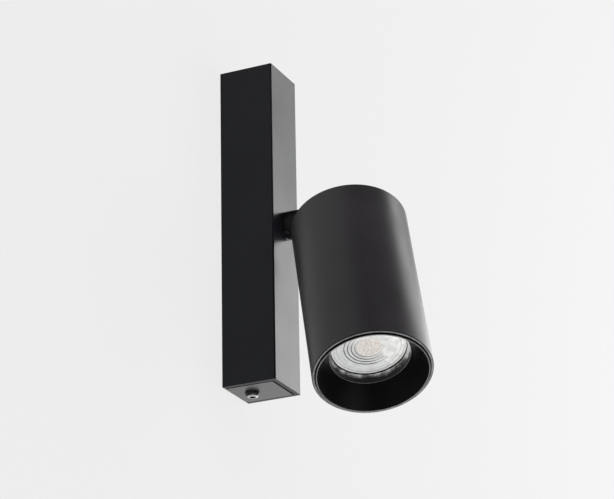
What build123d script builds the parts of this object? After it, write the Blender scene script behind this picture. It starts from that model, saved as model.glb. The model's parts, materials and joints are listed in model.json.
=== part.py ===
from build123d import *
from math import cos, radians, sin
import os

# Pivoting spotlight wall light: a square bar on the wall, a swivelling stub with a tilting
# knuckle half way up its front, and a round head that holds a 50 mm twist-lock reflector lamp.
# Origin: centre of the bar's back, on the wall. +Z up, -Y into the room, +X to the right.

# ---------------------------------------------------------------- driving dimensions (mm)
bar_height = 235.0
bar_width = 40.0
bar_depth = 40.0
bar_wall = 3.2
bar_edge_round = 1.0

end_plate_t = 2.0
end_seam = 1.4
end_flange_height = 14.0

bracket_t = 1.5
bracket_width = 28.0
bracket_tab_reach = 21.0
bracket_bend = 1.0
wall_slot_spacing = 190.0
wall_slot_length = 12.0
wall_slot_width = 5.2

cable_entry_z = -82.0
cable_entry_r = 6.0
grommet_bore_r = 4.0
grommet_lip = 1.8
grommet_lip_t = 1.3

cover_screw_inset = 13.0
cover_screw_r = 3.0
cover_screw_length = 12.0
cover_head_r = 5.25
cover_head_h = 3.3
cover_head_rim = 0.5
cover_head_crown_r = 2.9
cover_socket_across = 4.0
cover_socket_depth = 2.0
press_nut_r = 5.0
press_nut_h = 5.0

terminal_poles = 3
terminal_pitch = 10.0
terminal_length = 17.0
terminal_height = 13.0
terminal_corner_r = 1.0
terminal_notch = 1.6
terminal_notch_depth = 8.5
terminal_z = -46.0
terminal_bore_height = 5.5
terminal_screw_pitch = 8.0
ferrule_r = 2.4
ferrule_bore_r = 1.5
ferrule_length = 13.0
clamp_screw_r = 1.2
clamp_head_r = 1.7
clamp_head_h = 1.6
clamp_head_sink = 2.2
clamp_slot = 0.5
fixing_screw_r = 1.25
fixing_head_r = 2.2
fixing_head_h = 1.8
fixing_seat_height = 4.5

earth_x = 10.0
earth_z = -14.0
earth_screw_r = 2.0
earth_head_r = 3.8
earth_head_h = 2.6
earth_slot = 1.0
earth_washer_r = 4.4
earth_washer_t = 0.8
earth_washer_notch = 0.9
earth_washer_notches = 12
ring_tag_r = 4.0
ring_tag_t = 0.8
ring_neck = 2.0
ring_barrel_r = 1.6
ring_barrel_length = 5.0
ring_barrel_overlap = 2.0
ring_barrel_floor = 1.0

lead_r = 0.8
lead_past_screw = 2.0
lead_straight = 2.0
lead_gather = 4.0
lead_end_gap = 0.5
earth_lead_straight = 1.5
earth_lead_run_in = 3.0
sleeve_r = 1.75
sleeve_bore_r = 2.3
sleeve_stand = 14.0
sleeve_entry = 4.0
bend_share = 0.45

stub_r = 10.0
collar_t = 1.5
stub_seam = 0.1
stub_chamfer = 0.4
nipple_r = 5.0
nipple_bore_r = 3.0
nipple_grip = 5.4
bearing_washer_r = 9.0
bearing_washer_t = 1.0
stop_washer_r = 9.5
stop_washer_t = 1.2
stop_finger_reach = 14.5
stop_finger_width = 2.0
stop_pin_r = 1.25
stop_pin_orbit = 13.0
stop_pin_length = 3.6
stop_pin_root = 1.6
spring_washer_r = 8.0
spring_washer_t = 1.2
swivel_nut_across = 14.0
swivel_nut_t = 5.0
nipple_tail = 1.6
grub_r = 1.5
grub_length = 4.0
grub_inset = 3.7
grub_angle = 232.0
grub_socket_across = 1.5
grub_socket_depth = 1.2

screw_crown_share = 0.3
screw_slot = 0.8
screw_slot_depth = 0.8

pivot_reach = 18.0
pivot_inset = 12.0
pivot_rise = 18.3
pivot_end_play = 0.3
tongue_t = 10.0
tongue_neck_front = 8.0
friction_washer_t = 0.8
friction_washer_r = 7.5
tilt_screw_r = 2.5
tilt_head_r = 4.2
tilt_head_h = 1.7
tilt_head_seat = 8.0
tilt_socket_across = 3.0
tilt_socket_depth = 1.2
tilt_nut_across = 8.0
tilt_nut_t = 1.9
pocket_gap = 0.4
foot_t = 4.0
foot_width = 20.0
foot_corner_r = 2.0
foot_front = 18.0
foot_back = 8.5
foot_screw_spread = 6.0
foot_screw_forward = 13.5
foot_screw_r = 2.0
foot_screw_head_r = 3.5
foot_screw_head_h = 2.6
foot_socket_across = 2.5
foot_socket_depth = 1.5
channel_turn = 1.5
channel_relief = 6.5
channel_relief_front = 2.0
sleeve_path_offset = 5.0
knuckle_bend = 5.0

head_r = 40.0
head_length = 135.0
head_wall = 2.8
mouth_wall = 1.8
mouth_recess = 16.2
head_edge_round = 0.5
rear_cap_t = 3.0

baffle_gap = 0.6
baffle_proud = 1.0
baffle_skirt_t = 1.0
baffle_cone_t = 1.2
baffle_cone_root = 2.6
baffle_rim = 0.4
baffle_depth = 14.8
baffle_throat = 6.7
baffle_lip_t = 0.8
baffle_lip_gap = 0.4
o_ring_r = 0.5
o_ring_depth = 9.0

lamp_r = 25.0
lamp_length = 46.5
lamp_set_back = 0.4
lamp_opening_gap = 1.9
lamp_bezel_length = 4.0
lamp_lens_r = 23.8
lamp_lens_t = 1.4
lamp_lens_sink = 0.4
lamp_lens_ledge = 1.2
lamp_bulge_r = 22.0
lamp_bulge_depth = 16.0
lamp_waist_r = 15.5
lamp_waist_depth = 31.0
lamp_base_r = 13.8
lamp_base_taper = 2.0
lamp_board_r = 18.8
lamp_board_margin = 1.2
lamp_board_t = 1.2
lamp_board_sink = 6.0
lamp_chip_r = 1.3
lamp_chip_h = 0.7
lamp_chip_orbits = (0.0, 6.0, 12.0)
lamp_chip_counts = (1, 6, 10)
lamp_pin_pitch = 10.0
lamp_pin_neck_r = 1.5
lamp_pin_head_r = 2.5
lamp_pin_neck = 3.0
lamp_pin_head = 4.2

holder_width = 30.0
holder_depth = 18.0
holder_height = 16.0
holder_corner_r = 4.0
holder_floor = 1.5
holder_gap = 0.7
holder_pin_hole_r = 3.1
holder_pin_hole_depth = 9.0
holder_screw_pitch = 21.0
holder_screw_r = 1.5
holder_screw_head_r = 2.7
holder_screw_head_h = 1.8
holder_screw_sink = 3.0
holder_screw_tail = 1.0
holder_lead_reach = 4.0
head_sleeve_run = 20.0

hanger_t = 1.5
hanger_width = 16.0
hanger_span = 40.0
hanger_foot = 11.0
hanger_screw_r = 1.5
hanger_screw_head_r = 2.8
hanger_screw_head_h = 1.8
hanger_screw_bite = 2.4
hanger_lead_hole_r = 4.0

head_gland_neck_r = 2.85
head_gland_lip = 1.2
head_gland_lip_t = 1.2

# fits and clearances (mm)
fit_gap = 0.05
thread_gap = 0.05
running_gap = 0.08
screw_clearance = 0.15
channel_gap = 0.25

# the pose in which the light is drawn (degrees): head swung towards -X and leaned forward
swing = 18.66
lean = 14.05

# ---------------------------------------------------------------- derived sizes and frames
half_height = bar_height / 2
inner_half = bar_width / 2 - bar_wall
front_inside = bar_depth - bar_wall
pivot_offset = head_r - pivot_inset
fork_gap = tongue_t + 2 * (friction_washer_t + fit_gap)
fork_half = fork_gap / 2 + fit_gap
shoulder = stub_r + pivot_end_play

arm_side = Vector(cos(radians(swing)), 0, -sin(radians(swing)))
arm_up = Vector(sin(radians(swing)), 0, cos(radians(swing)))
wallward = Vector(0, 1, 0)
head_back = arm_up * cos(radians(lean)) + wallward * sin(radians(lean))
head_wallward = wallward * cos(radians(lean)) - arm_up * sin(radians(lean))

pivot = Vector(0, -(bar_depth + pivot_reach), 0)
mouth = pivot - head_wallward * pivot_offset - head_back * (pivot_rise + head_length)

fork_side = Plane(origin=pivot, x_dir=wallward, z_dir=arm_side)
tongue_side = Plane(origin=pivot, x_dir=head_wallward, z_dir=arm_side)
head_section = Plane(origin=mouth, x_dir=arm_side, z_dir=arm_side.cross(head_back))
head_axis = Axis(mouth, head_back)


def room_plane(reach, x=0.0, z=0.0):
    """A plane parallel to the wall that faces the room, this far out from the wall."""
    return Plane(origin=(x, -reach, z), x_dir=(1, 0, 0), z_dir=(0, -1, 0))


def arm_plane(reach):
    """A plane across the swivel axis that faces the room and turns with the stub."""
    return Plane(origin=(0, -reach, 0), x_dir=arm_side, z_dir=(0, -1, 0))


def head_plane(depth, toward_wall=0.0):
    """A plane across the head, this deep behind the mouth, facing the rear cap."""
    centre = mouth + head_back * depth + head_wallward * toward_wall
    return Plane(origin=centre, x_dir=arm_side, z_dir=head_back)


def facing_mouth(plane):
    """The same plane turned over, so that it faces the mouth."""
    return Plane(origin=plane.origin, x_dir=plane.x_dir, z_dir=-plane.z_dir)


def tongue_point(toward_wall, back):
    """A point in the knuckle's middle plane, measured from the pivot along the head's own axes."""
    return pivot + head_wallward * toward_wall + head_back * back


def machine_screw(radius, length, head_radius, head_height, socket=0.0, slot=0.0, depth=0.0):
    """A screw that stands on XY with its head above, its shank below and its drive cut in."""
    with BuildPart() as screw:
        with BuildSketch():
            Circle(head_radius)
        extrude(amount=head_height)
        top_rim = screw.edges().filter_by(GeomType.CIRCLE).sort_by(Axis.Z)[-1]
        fillet(top_rim, radius=head_height * screw_crown_share)
        with BuildSketch():
            Circle(radius)
        extrude(amount=-length)
        if socket:
            with BuildSketch(Plane.XY.offset(head_height)):
                RegularPolygon(socket / 2, 6, major_radius=False)
            extrude(amount=-depth, mode=Mode.SUBTRACT)
        if slot:
            with BuildSketch(Plane.XY.offset(head_height)):
                Rectangle(2 * head_radius, slot)
            extrude(amount=-depth, mode=Mode.SUBTRACT)
    return screw.part


def hex_nut(across, thickness, bore_radius):
    """A hexagon nut that stands on XY."""
    with BuildPart() as nut:
        with BuildSketch():
            RegularPolygon(across / 2, 6, major_radius=False)
            Circle(bore_radius, mode=Mode.SUBTRACT)
        extrude(amount=thickness)
    return nut.part


def washer(plane, radius, bore_radius, thickness):
    """A plain washer that stands on a plane."""
    with BuildPart() as ring:
        with BuildSketch(plane):
            Circle(radius)
            Circle(bore_radius, mode=Mode.SUBTRACT)
        extrude(amount=thickness)
    return ring.part


def swept_lead(points, radii, radius):
    """A round lead along straight runs joined by tangent arcs."""
    with BuildPart() as lead:
        with BuildLine() as route:
            FilletPolyline(*points, radius=radii)
        with BuildSketch(Plane(origin=route.line @ 0, z_dir=route.line % 0)):
            Circle(radius)
        sweep(path=route.line)
    return lead.part


def corner_radius(before, corner, after):
    """The bend at a corner of a lead, as large as its shorter run allows."""
    first = corner - before
    second = after - corner
    half_turn = radians(first.get_angle(second)) / 2
    return bend_share * min(first.length, second.length) * cos(half_turn) / sin(half_turn)


def route_radii(points):
    """One bend radius for each corner of a route."""
    return [corner_radius(*points[i - 1 : i + 2]) for i in range(1, len(points) - 1)]


# ---------------------------------------------------------------- bar: cover and end plates
with BuildPart() as bar_housing:
    with BuildSketch(Plane.XY.offset(-half_height)):
        with Locations((0, -bar_depth / 2)):
            Rectangle(bar_width, bar_depth)
        with Locations((0, -front_inside / 2)):
            Rectangle(2 * inner_half, front_inside, mode=Mode.SUBTRACT)
    extrude(amount=bar_height)
    front_corners = bar_housing.edges().filter_by(Axis.Z).group_by(Axis.Y)[0]
    fillet(front_corners, radius=bar_edge_round)
    with BuildSketch(room_plane(front_inside)):
        Circle(nipple_r + running_gap)
    extrude(amount=bar_wall, mode=Mode.SUBTRACT)
    with BuildSketch(room_plane(front_inside, z=stop_pin_orbit)):
        Circle(stop_pin_r + fit_gap)
    extrude(amount=stop_pin_root, mode=Mode.SUBTRACT)
bar_housing.part.label = "bar_housing"

plate_left = -inner_half + end_seam
plate_right = inner_half - fit_gap
plate_front = front_inside - end_seam


def end_plate(bottom):
    """A folded end plate, flush with the bar's end, with its flange on the right wall."""
    up = 1 if bottom else -1
    outer = Plane(origin=(0, 0, -up * half_height), x_dir=(1, 0, 0), z_dir=(0, 0, up))
    with BuildPart() as plate:
        with BuildSketch(outer):
            with Locations(((plate_left + plate_right) / 2, -up * plate_front / 2)):
                Rectangle(plate_right - plate_left, plate_front)
            with Locations((0, -up * cover_screw_inset)):
                Circle(cover_screw_r + screw_clearance, mode=Mode.SUBTRACT)
        extrude(amount=end_plate_t)
        with BuildSketch(outer):
            with Locations((plate_right - end_plate_t / 2, -up * plate_front / 2)):
                Rectangle(end_plate_t, plate_front - 2 * end_plate_t)
        extrude(amount=end_plate_t + end_flange_height)
    return plate.part


with BuildPart() as bottom_end_plate:
    add(end_plate(bottom=True))
bottom_end_plate.part.label = "bottom_end_plate"

with BuildPart() as top_end_plate:
    add(end_plate(bottom=False))
top_end_plate.part.label = "top_end_plate"

# ---------------------------------------------------------------- bar: bracket on the wall
tab_outer = half_height - end_plate_t - fit_gap

with BuildPart() as wall_bracket:
    with BuildSketch(Plane.YZ.offset(-bracket_width / 2)):
        with BuildLine():
            Polyline(
                (-bracket_tab_reach, tab_outer),
                (0, tab_outer),
                (0, -tab_outer),
                (-bracket_tab_reach, -tab_outer),
                (-bracket_tab_reach, -tab_outer + bracket_t),
                (-bracket_t, -tab_outer + bracket_t),
                (-bracket_t, tab_outer - bracket_t),
                (-bracket_tab_reach, tab_outer - bracket_t),
                close=True,
            )
        make_face()
    extrude(amount=bracket_width)
    outer_bends = wall_bracket.edges().filter_by(Axis.X).group_by(Axis.Y)[-1]
    fillet(outer_bends, radius=bracket_bend)
    with BuildSketch(Plane.XZ):
        with GridLocations(0, wall_slot_spacing, 1, 2):
            SlotOverall(wall_slot_length, wall_slot_width, rotation=90)
        with Locations((0, cable_entry_z)):
            Circle(cable_entry_r)
        with Locations((earth_x, earth_z)):
            Circle(earth_screw_r + thread_gap)
        with Locations((terminal_pitch / 2, terminal_z)):
            Circle(fixing_screw_r + thread_gap)
    extrude(amount=bracket_t, mode=Mode.SUBTRACT)
    with BuildSketch(Plane.XY.offset(-tab_outer)):
        with Locations((0, -cover_screw_inset)):
            Circle(cover_screw_r + screw_clearance)
    extrude(amount=2 * tab_outer, mode=Mode.SUBTRACT)
wall_bracket.part.label = "wall_bracket"

with BuildPart() as press_nuts:
    with BuildSketch(Plane.XY.offset(tab_outer - bracket_t - press_nut_h)):
        with Locations((0, -cover_screw_inset)):
            Circle(press_nut_r)
            Circle(cover_screw_r + thread_gap, mode=Mode.SUBTRACT)
    extrude(amount=press_nut_h)
    mirror(about=Plane.XY)
press_nuts.part.label = "press_nuts"

with BuildPart() as cover_screw:
    with BuildSketch(Plane.XZ):
        with BuildLine():
            Line((0, 0), (cover_head_r, 0))
            Line((cover_head_r, 0), (cover_head_r, cover_head_rim))
            RadiusArc((cover_head_r, cover_head_rim), (cover_head_crown_r, cover_head_h), -cover_head_h)
            Line((cover_head_crown_r, cover_head_h), (0, cover_head_h))
            Line((0, cover_head_h), (0, 0))
        make_face()
    revolve(axis=Axis.Z)
    with BuildSketch():
        Circle(cover_screw_r)
    extrude(amount=-cover_screw_length)
    with BuildSketch(Plane.XY.offset(cover_head_h)):
        RegularPolygon(cover_socket_across / 2, 6, major_radius=False)
    extrude(amount=-cover_socket_depth, mode=Mode.SUBTRACT)

with BuildPart() as cover_screws:
    with Locations(
        Plane(origin=(0, -cover_screw_inset, half_height), z_dir=(0, 0, 1)),
        Plane(origin=(0, -cover_screw_inset, -half_height), z_dir=(0, 0, -1)),
    ):
        add(cover_screw.part)
cover_screws.part.label = "cover_screws"

with BuildPart() as cable_grommet:
    with BuildSketch(room_plane(0, z=cable_entry_z)):
        Circle(cable_entry_r - fit_gap)
        Circle(grommet_bore_r, mode=Mode.SUBTRACT)
    extrude(amount=bracket_t + grommet_lip_t)
    with BuildSketch(room_plane(bracket_t, z=cable_entry_z)):
        Circle(cable_entry_r + grommet_lip)
        Circle(grommet_bore_r, mode=Mode.SUBTRACT)
    extrude(amount=grommet_lip_t)
cable_grommet.part.label = "cable_grommet"

# ---------------------------------------------------------------- bar: terminals and earth
terminal_width = terminal_poles * terminal_pitch
terminal_front = bracket_t + terminal_height
bore_reach = bracket_t + terminal_bore_height
terminal_top = terminal_z + terminal_length / 2
fixing_seat = bracket_t + fixing_seat_height

with BuildPart() as terminal_block:
    with BuildSketch(room_plane(bracket_t, z=terminal_z)):
        RectangleRounded(terminal_width, terminal_length, terminal_corner_r)
    extrude(amount=terminal_height)
    with BuildSketch(room_plane(terminal_front, z=terminal_z)):
        with GridLocations(terminal_pitch, 0, terminal_poles - 1, 1):
            Rectangle(terminal_notch, terminal_length)
    extrude(amount=-terminal_notch_depth, mode=Mode.SUBTRACT)
    with BuildSketch(Plane.XY.offset(terminal_z - terminal_length / 2)):
        with Locations((0, -bore_reach)):
            with GridLocations(terminal_pitch, 0, terminal_poles, 1):
                Circle(ferrule_r + fit_gap)
    extrude(amount=terminal_length, mode=Mode.SUBTRACT)
    with BuildSketch(room_plane(bore_reach, z=terminal_z)):
        with GridLocations(terminal_pitch, terminal_screw_pitch, terminal_poles, 2):
            Circle(clamp_head_r + screw_clearance)
    extrude(amount=terminal_height, mode=Mode.SUBTRACT)
    with BuildSketch(room_plane(bracket_t, x=terminal_pitch / 2, z=terminal_z)):
        Circle(fixing_screw_r + thread_gap)
    extrude(amount=terminal_height, mode=Mode.SUBTRACT)
    with BuildSketch(room_plane(fixing_seat, x=terminal_pitch / 2, z=terminal_z)):
        Circle(fixing_head_r + screw_clearance)
    extrude(amount=terminal_height, mode=Mode.SUBTRACT)
terminal_block.part.label = "terminal_block"

with BuildPart() as terminal_ferrules:
    with BuildSketch(Plane.XY.offset(terminal_z - ferrule_length / 2)):
        with Locations((0, -bore_reach)):
            with GridLocations(terminal_pitch, 0, terminal_poles, 1):
                Circle(ferrule_r)
                Circle(ferrule_bore_r, mode=Mode.SUBTRACT)
    extrude(amount=ferrule_length)
    with BuildSketch(room_plane(bore_reach, z=terminal_z)):
        with GridLocations(terminal_pitch, terminal_screw_pitch, terminal_poles, 2):
            Circle(clamp_screw_r + thread_gap)
    extrude(amount=ferrule_r, mode=Mode.SUBTRACT)
terminal_ferrules.part.label = "terminal_ferrules"

clamp_seat = terminal_front - clamp_head_sink - clamp_head_h
clamp_reach = clamp_seat - bore_reach - lead_r - fit_gap

with BuildPart() as terminal_screws:
    with Locations(room_plane(clamp_seat, z=terminal_z)):
        with GridLocations(terminal_pitch, terminal_screw_pitch, terminal_poles, 2):
            add(
                machine_screw(
                    clamp_screw_r,
                    clamp_reach,
                    clamp_head_r,
                    clamp_head_h,
                    slot=clamp_slot,
                    depth=screw_slot_depth,
                )
            )
terminal_screws.part.label = "terminal_screws"

with BuildPart() as terminal_fixing_screw:
    with Locations(room_plane(fixing_seat, x=terminal_pitch / 2, z=terminal_z)):
        add(
            machine_screw(
                fixing_screw_r,
                fixing_seat,
                fixing_head_r,
                fixing_head_h,
                slot=screw_slot,
                depth=screw_slot_depth,
            )
        )
terminal_fixing_screw.part.label = "terminal_fixing_screw"

tag_front = bracket_t + ring_tag_t
barrel_reach = bracket_t + ring_barrel_r + fit_gap
barrel_low = earth_z - ring_tag_r - ring_neck - ring_barrel_length
neck_low = barrel_low + ring_barrel_length - ring_barrel_overlap

with BuildPart() as earth_ring_tag:
    with BuildSketch(room_plane(bracket_t)):
        with Locations((earth_x, earth_z)):
            Circle(ring_tag_r)
        with Locations((earth_x, (earth_z + neck_low) / 2)):
            Rectangle(2 * ring_barrel_r, earth_z - neck_low)
    extrude(amount=ring_tag_t)
    with BuildSketch(Plane(origin=(earth_x, -barrel_reach, barrel_low), z_dir=(0, 0, 1))):
        Circle(ring_barrel_r)
    extrude(amount=ring_barrel_length)
    with BuildSketch(Plane(origin=(earth_x, -barrel_reach, barrel_low), z_dir=(0, 0, 1))):
        Circle(lead_r + fit_gap)
    extrude(amount=ring_barrel_length - ring_barrel_floor, mode=Mode.SUBTRACT)
    with BuildSketch(room_plane(bracket_t)):
        with Locations((earth_x, earth_z)):
            Circle(earth_screw_r + thread_gap)
    extrude(amount=ring_tag_t, mode=Mode.SUBTRACT)
earth_ring_tag.part.label = "earth_ring_tag"

with BuildPart() as earth_washer:
    with BuildSketch(room_plane(tag_front, x=earth_x, z=earth_z)):
        Circle(earth_washer_r)
        with PolarLocations(earth_washer_r, earth_washer_notches):
            Rectangle(earth_washer_notch, earth_washer_notch, mode=Mode.SUBTRACT)
        Circle(earth_screw_r + fit_gap, mode=Mode.SUBTRACT)
    extrude(amount=earth_washer_t)
earth_washer.part.label = "earth_washer"

with BuildPart() as earth_screw:
    with Locations(room_plane(tag_front + earth_washer_t, x=earth_x, z=earth_z)):
        add(
            machine_screw(
                earth_screw_r,
                tag_front + earth_washer_t - fit_gap,
                earth_head_r,
                earth_head_h,
                slot=earth_slot,
                depth=screw_slot_depth,
            )
        )
earth_screw.part.label = "earth_screw"

# ---------------------------------------------------------------- bar: internal leads
sleeve_start = terminal_top + sleeve_stand
nipple_end = front_inside - bearing_washer_t - fit_gap - stop_washer_t - spring_washer_t
nipple_end = nipple_end - swivel_nut_t - nipple_tail
sleeve_joint = nipple_end + sleeve_entry
lead_pair = sleeve_r - lead_r - fit_gap
ferrule_end = terminal_z + terminal_screw_pitch / 2 - lead_past_screw

bar_sleeve_route = [
    Vector(0, -bore_reach, sleeve_start),
    Vector(0, -bore_reach, 0),
    Vector(0, -sleeve_joint, 0),
]
with BuildPart() as bar_sleeve:
    add(swept_lead(bar_sleeve_route, route_radii(bar_sleeve_route), sleeve_r))
bar_sleeve.part.label = "bar_sleeve"


def terminal_lead(pole_x, end_x):
    """A lead from one pole of the terminal block up to the end of the sleeve."""
    route = [
        Vector(pole_x, -bore_reach, ferrule_end),
        Vector(pole_x, -bore_reach, terminal_top + lead_straight),
        Vector(end_x, -bore_reach, sleeve_start - lead_gather),
        Vector(end_x, -bore_reach, sleeve_start),
    ]
    return swept_lead(route, route_radii(route), lead_r)


with BuildPart() as live_lead:
    add(terminal_lead(-terminal_pitch, -lead_pair))
live_lead.part.label = "live_lead"

with BuildPart() as neutral_lead:
    add(terminal_lead(0, lead_pair))
neutral_lead.part.label = "neutral_lead"

barrel_depth = ring_barrel_length - ring_barrel_floor
earth_route = [
    Vector(earth_x, -bore_reach, ferrule_end),
    Vector(earth_x, -bore_reach, terminal_top + earth_lead_straight),
    Vector(earth_x, -barrel_reach, barrel_low - earth_lead_run_in),
    Vector(earth_x, -barrel_reach, barrel_low + barrel_depth - lead_end_gap),
]
with BuildPart() as earth_lead:
    add(swept_lead(earth_route, route_radii(earth_route), lead_r))
earth_lead.part.label = "earth_lead"

# ---------------------------------------------------------------- swivel: fixed pieces
with BuildPart() as swivel_collar:
    with BuildSketch(room_plane(bar_depth)):
        Circle(stub_r)
        Circle(nipple_r + running_gap, mode=Mode.SUBTRACT)
    extrude(amount=collar_t)
    collar_rim = swivel_collar.edges().filter_by(GeomType.CIRCLE).sort_by(Axis.Y)[:2]
    chamfer(collar_rim.sort_by(SortBy.RADIUS)[-1], length=stub_chamfer)
swivel_collar.part.label = "swivel_collar"

with BuildPart() as bearing_washer:
    add(
        washer(
            room_plane(front_inside - bearing_washer_t),
            bearing_washer_r,
            nipple_r + running_gap,
            bearing_washer_t,
        )
    )
bearing_washer.part.label = "bearing_washer"

with BuildPart() as stop_pin:
    with BuildSketch(room_plane(front_inside - stop_pin_length, z=stop_pin_orbit)):
        Circle(stop_pin_r)
    extrude(amount=stop_pin_length + stop_pin_root - fit_gap)
stop_pin.part.label = "stop_pin"

# ---------------------------------------------------------------- swivel: pieces that turn
stop_washer_seat = front_inside - bearing_washer_t - fit_gap - stop_washer_t
spring_seat = stop_washer_seat - spring_washer_t
nut_seat = spring_seat - swivel_nut_t
stub_base = bar_depth + collar_t + stub_seam
nipple_tip = stub_base + nipple_grip

with BuildPart() as swivel_nipple:
    with BuildSketch(arm_plane(nipple_end)):
        Circle(nipple_r)
        Circle(nipple_bore_r, mode=Mode.SUBTRACT)
    extrude(amount=nipple_tip - nipple_end)
swivel_nipple.part.label = "swivel_nipple"

with BuildPart() as stop_washer:
    with BuildSketch(arm_plane(stop_washer_seat)):
        Circle(stop_washer_r)
        with Locations((0, -stop_finger_reach / 2)):
            Rectangle(stop_finger_width, stop_finger_reach)
        Circle(nipple_r + fit_gap, mode=Mode.SUBTRACT)
    extrude(amount=stop_washer_t)
stop_washer.part.label = "stop_washer"

with BuildPart() as spring_washer:
    with BuildSketch(Plane.XY):
        with BuildLine():
            Polyline(
                (nipple_r + 2 * fit_gap, -spring_seat),
                (nipple_r + 2 * fit_gap, -spring_seat - spring_washer_t / 2),
                (spring_washer_r, -spring_seat - spring_washer_t),
                (spring_washer_r, -spring_seat - spring_washer_t / 2),
                close=True,
            )
        make_face()
    revolve(axis=Axis.Y)
spring_washer.part.label = "spring_washer"

with BuildPart() as swivel_nut:
    with Locations(arm_plane(nut_seat)):
        add(hex_nut(swivel_nut_across, swivel_nut_t, nipple_r + thread_gap))
swivel_nut.part.label = "swivel_nut"

stub_tip = bar_depth + pivot_reach + stub_r
grub_direction = Vector(cos(radians(grub_angle)), 0, sin(radians(grub_angle)))
grub_hole = Plane(
    origin=Vector(0, -(bar_depth + grub_inset), 0),
    x_dir=(0, 1, 0),
    z_dir=grub_direction,
)

with BuildPart() as swivel_stub:
    with BuildSketch(arm_plane(stub_base)):
        Circle(stub_r)
    extrude(amount=stub_tip - stub_base)
    stub_rim = swivel_stub.edges().filter_by(GeomType.CIRCLE).sort_by(Axis.Y)[-1]
    chamfer(stub_rim, length=stub_chamfer)
    with BuildSketch(fork_side.offset(-stub_r)):
        Circle(stub_r)
        with Locations((pivot_reach / 2, 0)):
            Rectangle(pivot_reach, 2 * stub_r)
    extrude(amount=2 * stub_r, mode=Mode.INTERSECT)
    with BuildSketch(fork_side.offset(-fork_half)):
        with Locations((shoulder / 2 - stub_r, 0)):
            Rectangle(shoulder + 2 * stub_r, 2 * (stub_r + pocket_gap))
    extrude(amount=2 * fork_half, mode=Mode.SUBTRACT)
    with BuildSketch(arm_plane(stub_base)):
        Circle(nipple_r + thread_gap)
    extrude(amount=nipple_grip + fit_gap, mode=Mode.SUBTRACT)
    with BuildSketch(arm_plane(stub_base)):
        Circle(sleeve_bore_r)
    extrude(amount=pivot_reach, mode=Mode.SUBTRACT)
    with BuildSketch(fork_side.offset(-stub_r)):
        Circle(tilt_screw_r + fit_gap)
    extrude(amount=2 * stub_r, mode=Mode.SUBTRACT)
    with BuildSketch(fork_side.offset(tilt_head_seat)):
        Circle(tilt_nut_across / 2 / cos(radians(30)) + pocket_gap)
    extrude(amount=stub_r, mode=Mode.SUBTRACT)
    with BuildSketch(fork_side.offset(-tilt_head_seat)):
        Circle(tilt_head_r + pocket_gap)
    extrude(amount=-stub_r, mode=Mode.SUBTRACT)
    with BuildSketch(grub_hole.offset(nipple_r)):
        Circle(grub_r + thread_gap)
    extrude(amount=stub_r, mode=Mode.SUBTRACT)
swivel_stub.part.label = "swivel_stub"

with BuildPart() as stub_grub_screw:
    with BuildSketch(grub_hole.offset(nipple_r + fit_gap)):
        Circle(grub_r)
    extrude(amount=grub_length)
    with BuildSketch(grub_hole.offset(nipple_r + fit_gap + grub_length)):
        RegularPolygon(grub_socket_across / 2, 6, major_radius=False)
    extrude(amount=-grub_socket_depth, mode=Mode.SUBTRACT)
stub_grub_screw.part.label = "stub_grub_screw"

with BuildPart() as tilt_screw:
    with Locations(
        Plane(
            origin=pivot - arm_side * tilt_head_seat,
            x_dir=wallward,
            z_dir=-arm_side,
        )
    ):
        add(
            machine_screw(
                tilt_screw_r,
                2 * tilt_head_seat + tilt_nut_t,
                tilt_head_r,
                tilt_head_h,
                socket=tilt_socket_across,
                depth=tilt_socket_depth,
            )
        )
tilt_screw.part.label = "tilt_screw"

with BuildPart() as tilt_nut:
    with Locations(fork_side.offset(tilt_head_seat)):
        add(hex_nut(tilt_nut_across, tilt_nut_t, tilt_screw_r + thread_gap))
tilt_nut.part.label = "tilt_nut"

with BuildPart() as friction_washers:
    for inner_face in (tongue_t / 2 + fit_gap, -tongue_t / 2 - fit_gap - friction_washer_t):
        add(
            washer(
                fork_side.offset(inner_face),
                friction_washer_r,
                tilt_screw_r + fit_gap,
                friction_washer_t,
            )
        )
friction_washers.part.label = "friction_washers"

with BuildPart() as arm_sleeve:
    with BuildSketch(arm_plane(sleeve_joint)):
        Circle(sleeve_r)
    extrude(amount=bar_depth + pivot_reach - shoulder - sleeve_joint)
arm_sleeve.part.label = "arm_sleeve"

# where the straight run out of the stub meets the run beside the tilt screw
bend_forward = sleeve_path_offset / cos(radians(lean))
knuckle_route = [
    Vector(0, -(bar_depth + pivot_reach - shoulder), 0),
    pivot + wallward * bend_forward,
    tongue_point(sleeve_path_offset, -(pivot_rise - foot_t)),
]
with BuildPart() as knuckle_sleeve:
    add(swept_lead(knuckle_route, [knuckle_bend], sleeve_r))
knuckle_sleeve.part.label = "knuckle_sleeve"

# ---------------------------------------------------------------- head: knuckle and rear cap
foot_top = -(pivot_rise - foot_t)
channel_front = sleeve_path_offset - sleeve_r - channel_gap

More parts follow.
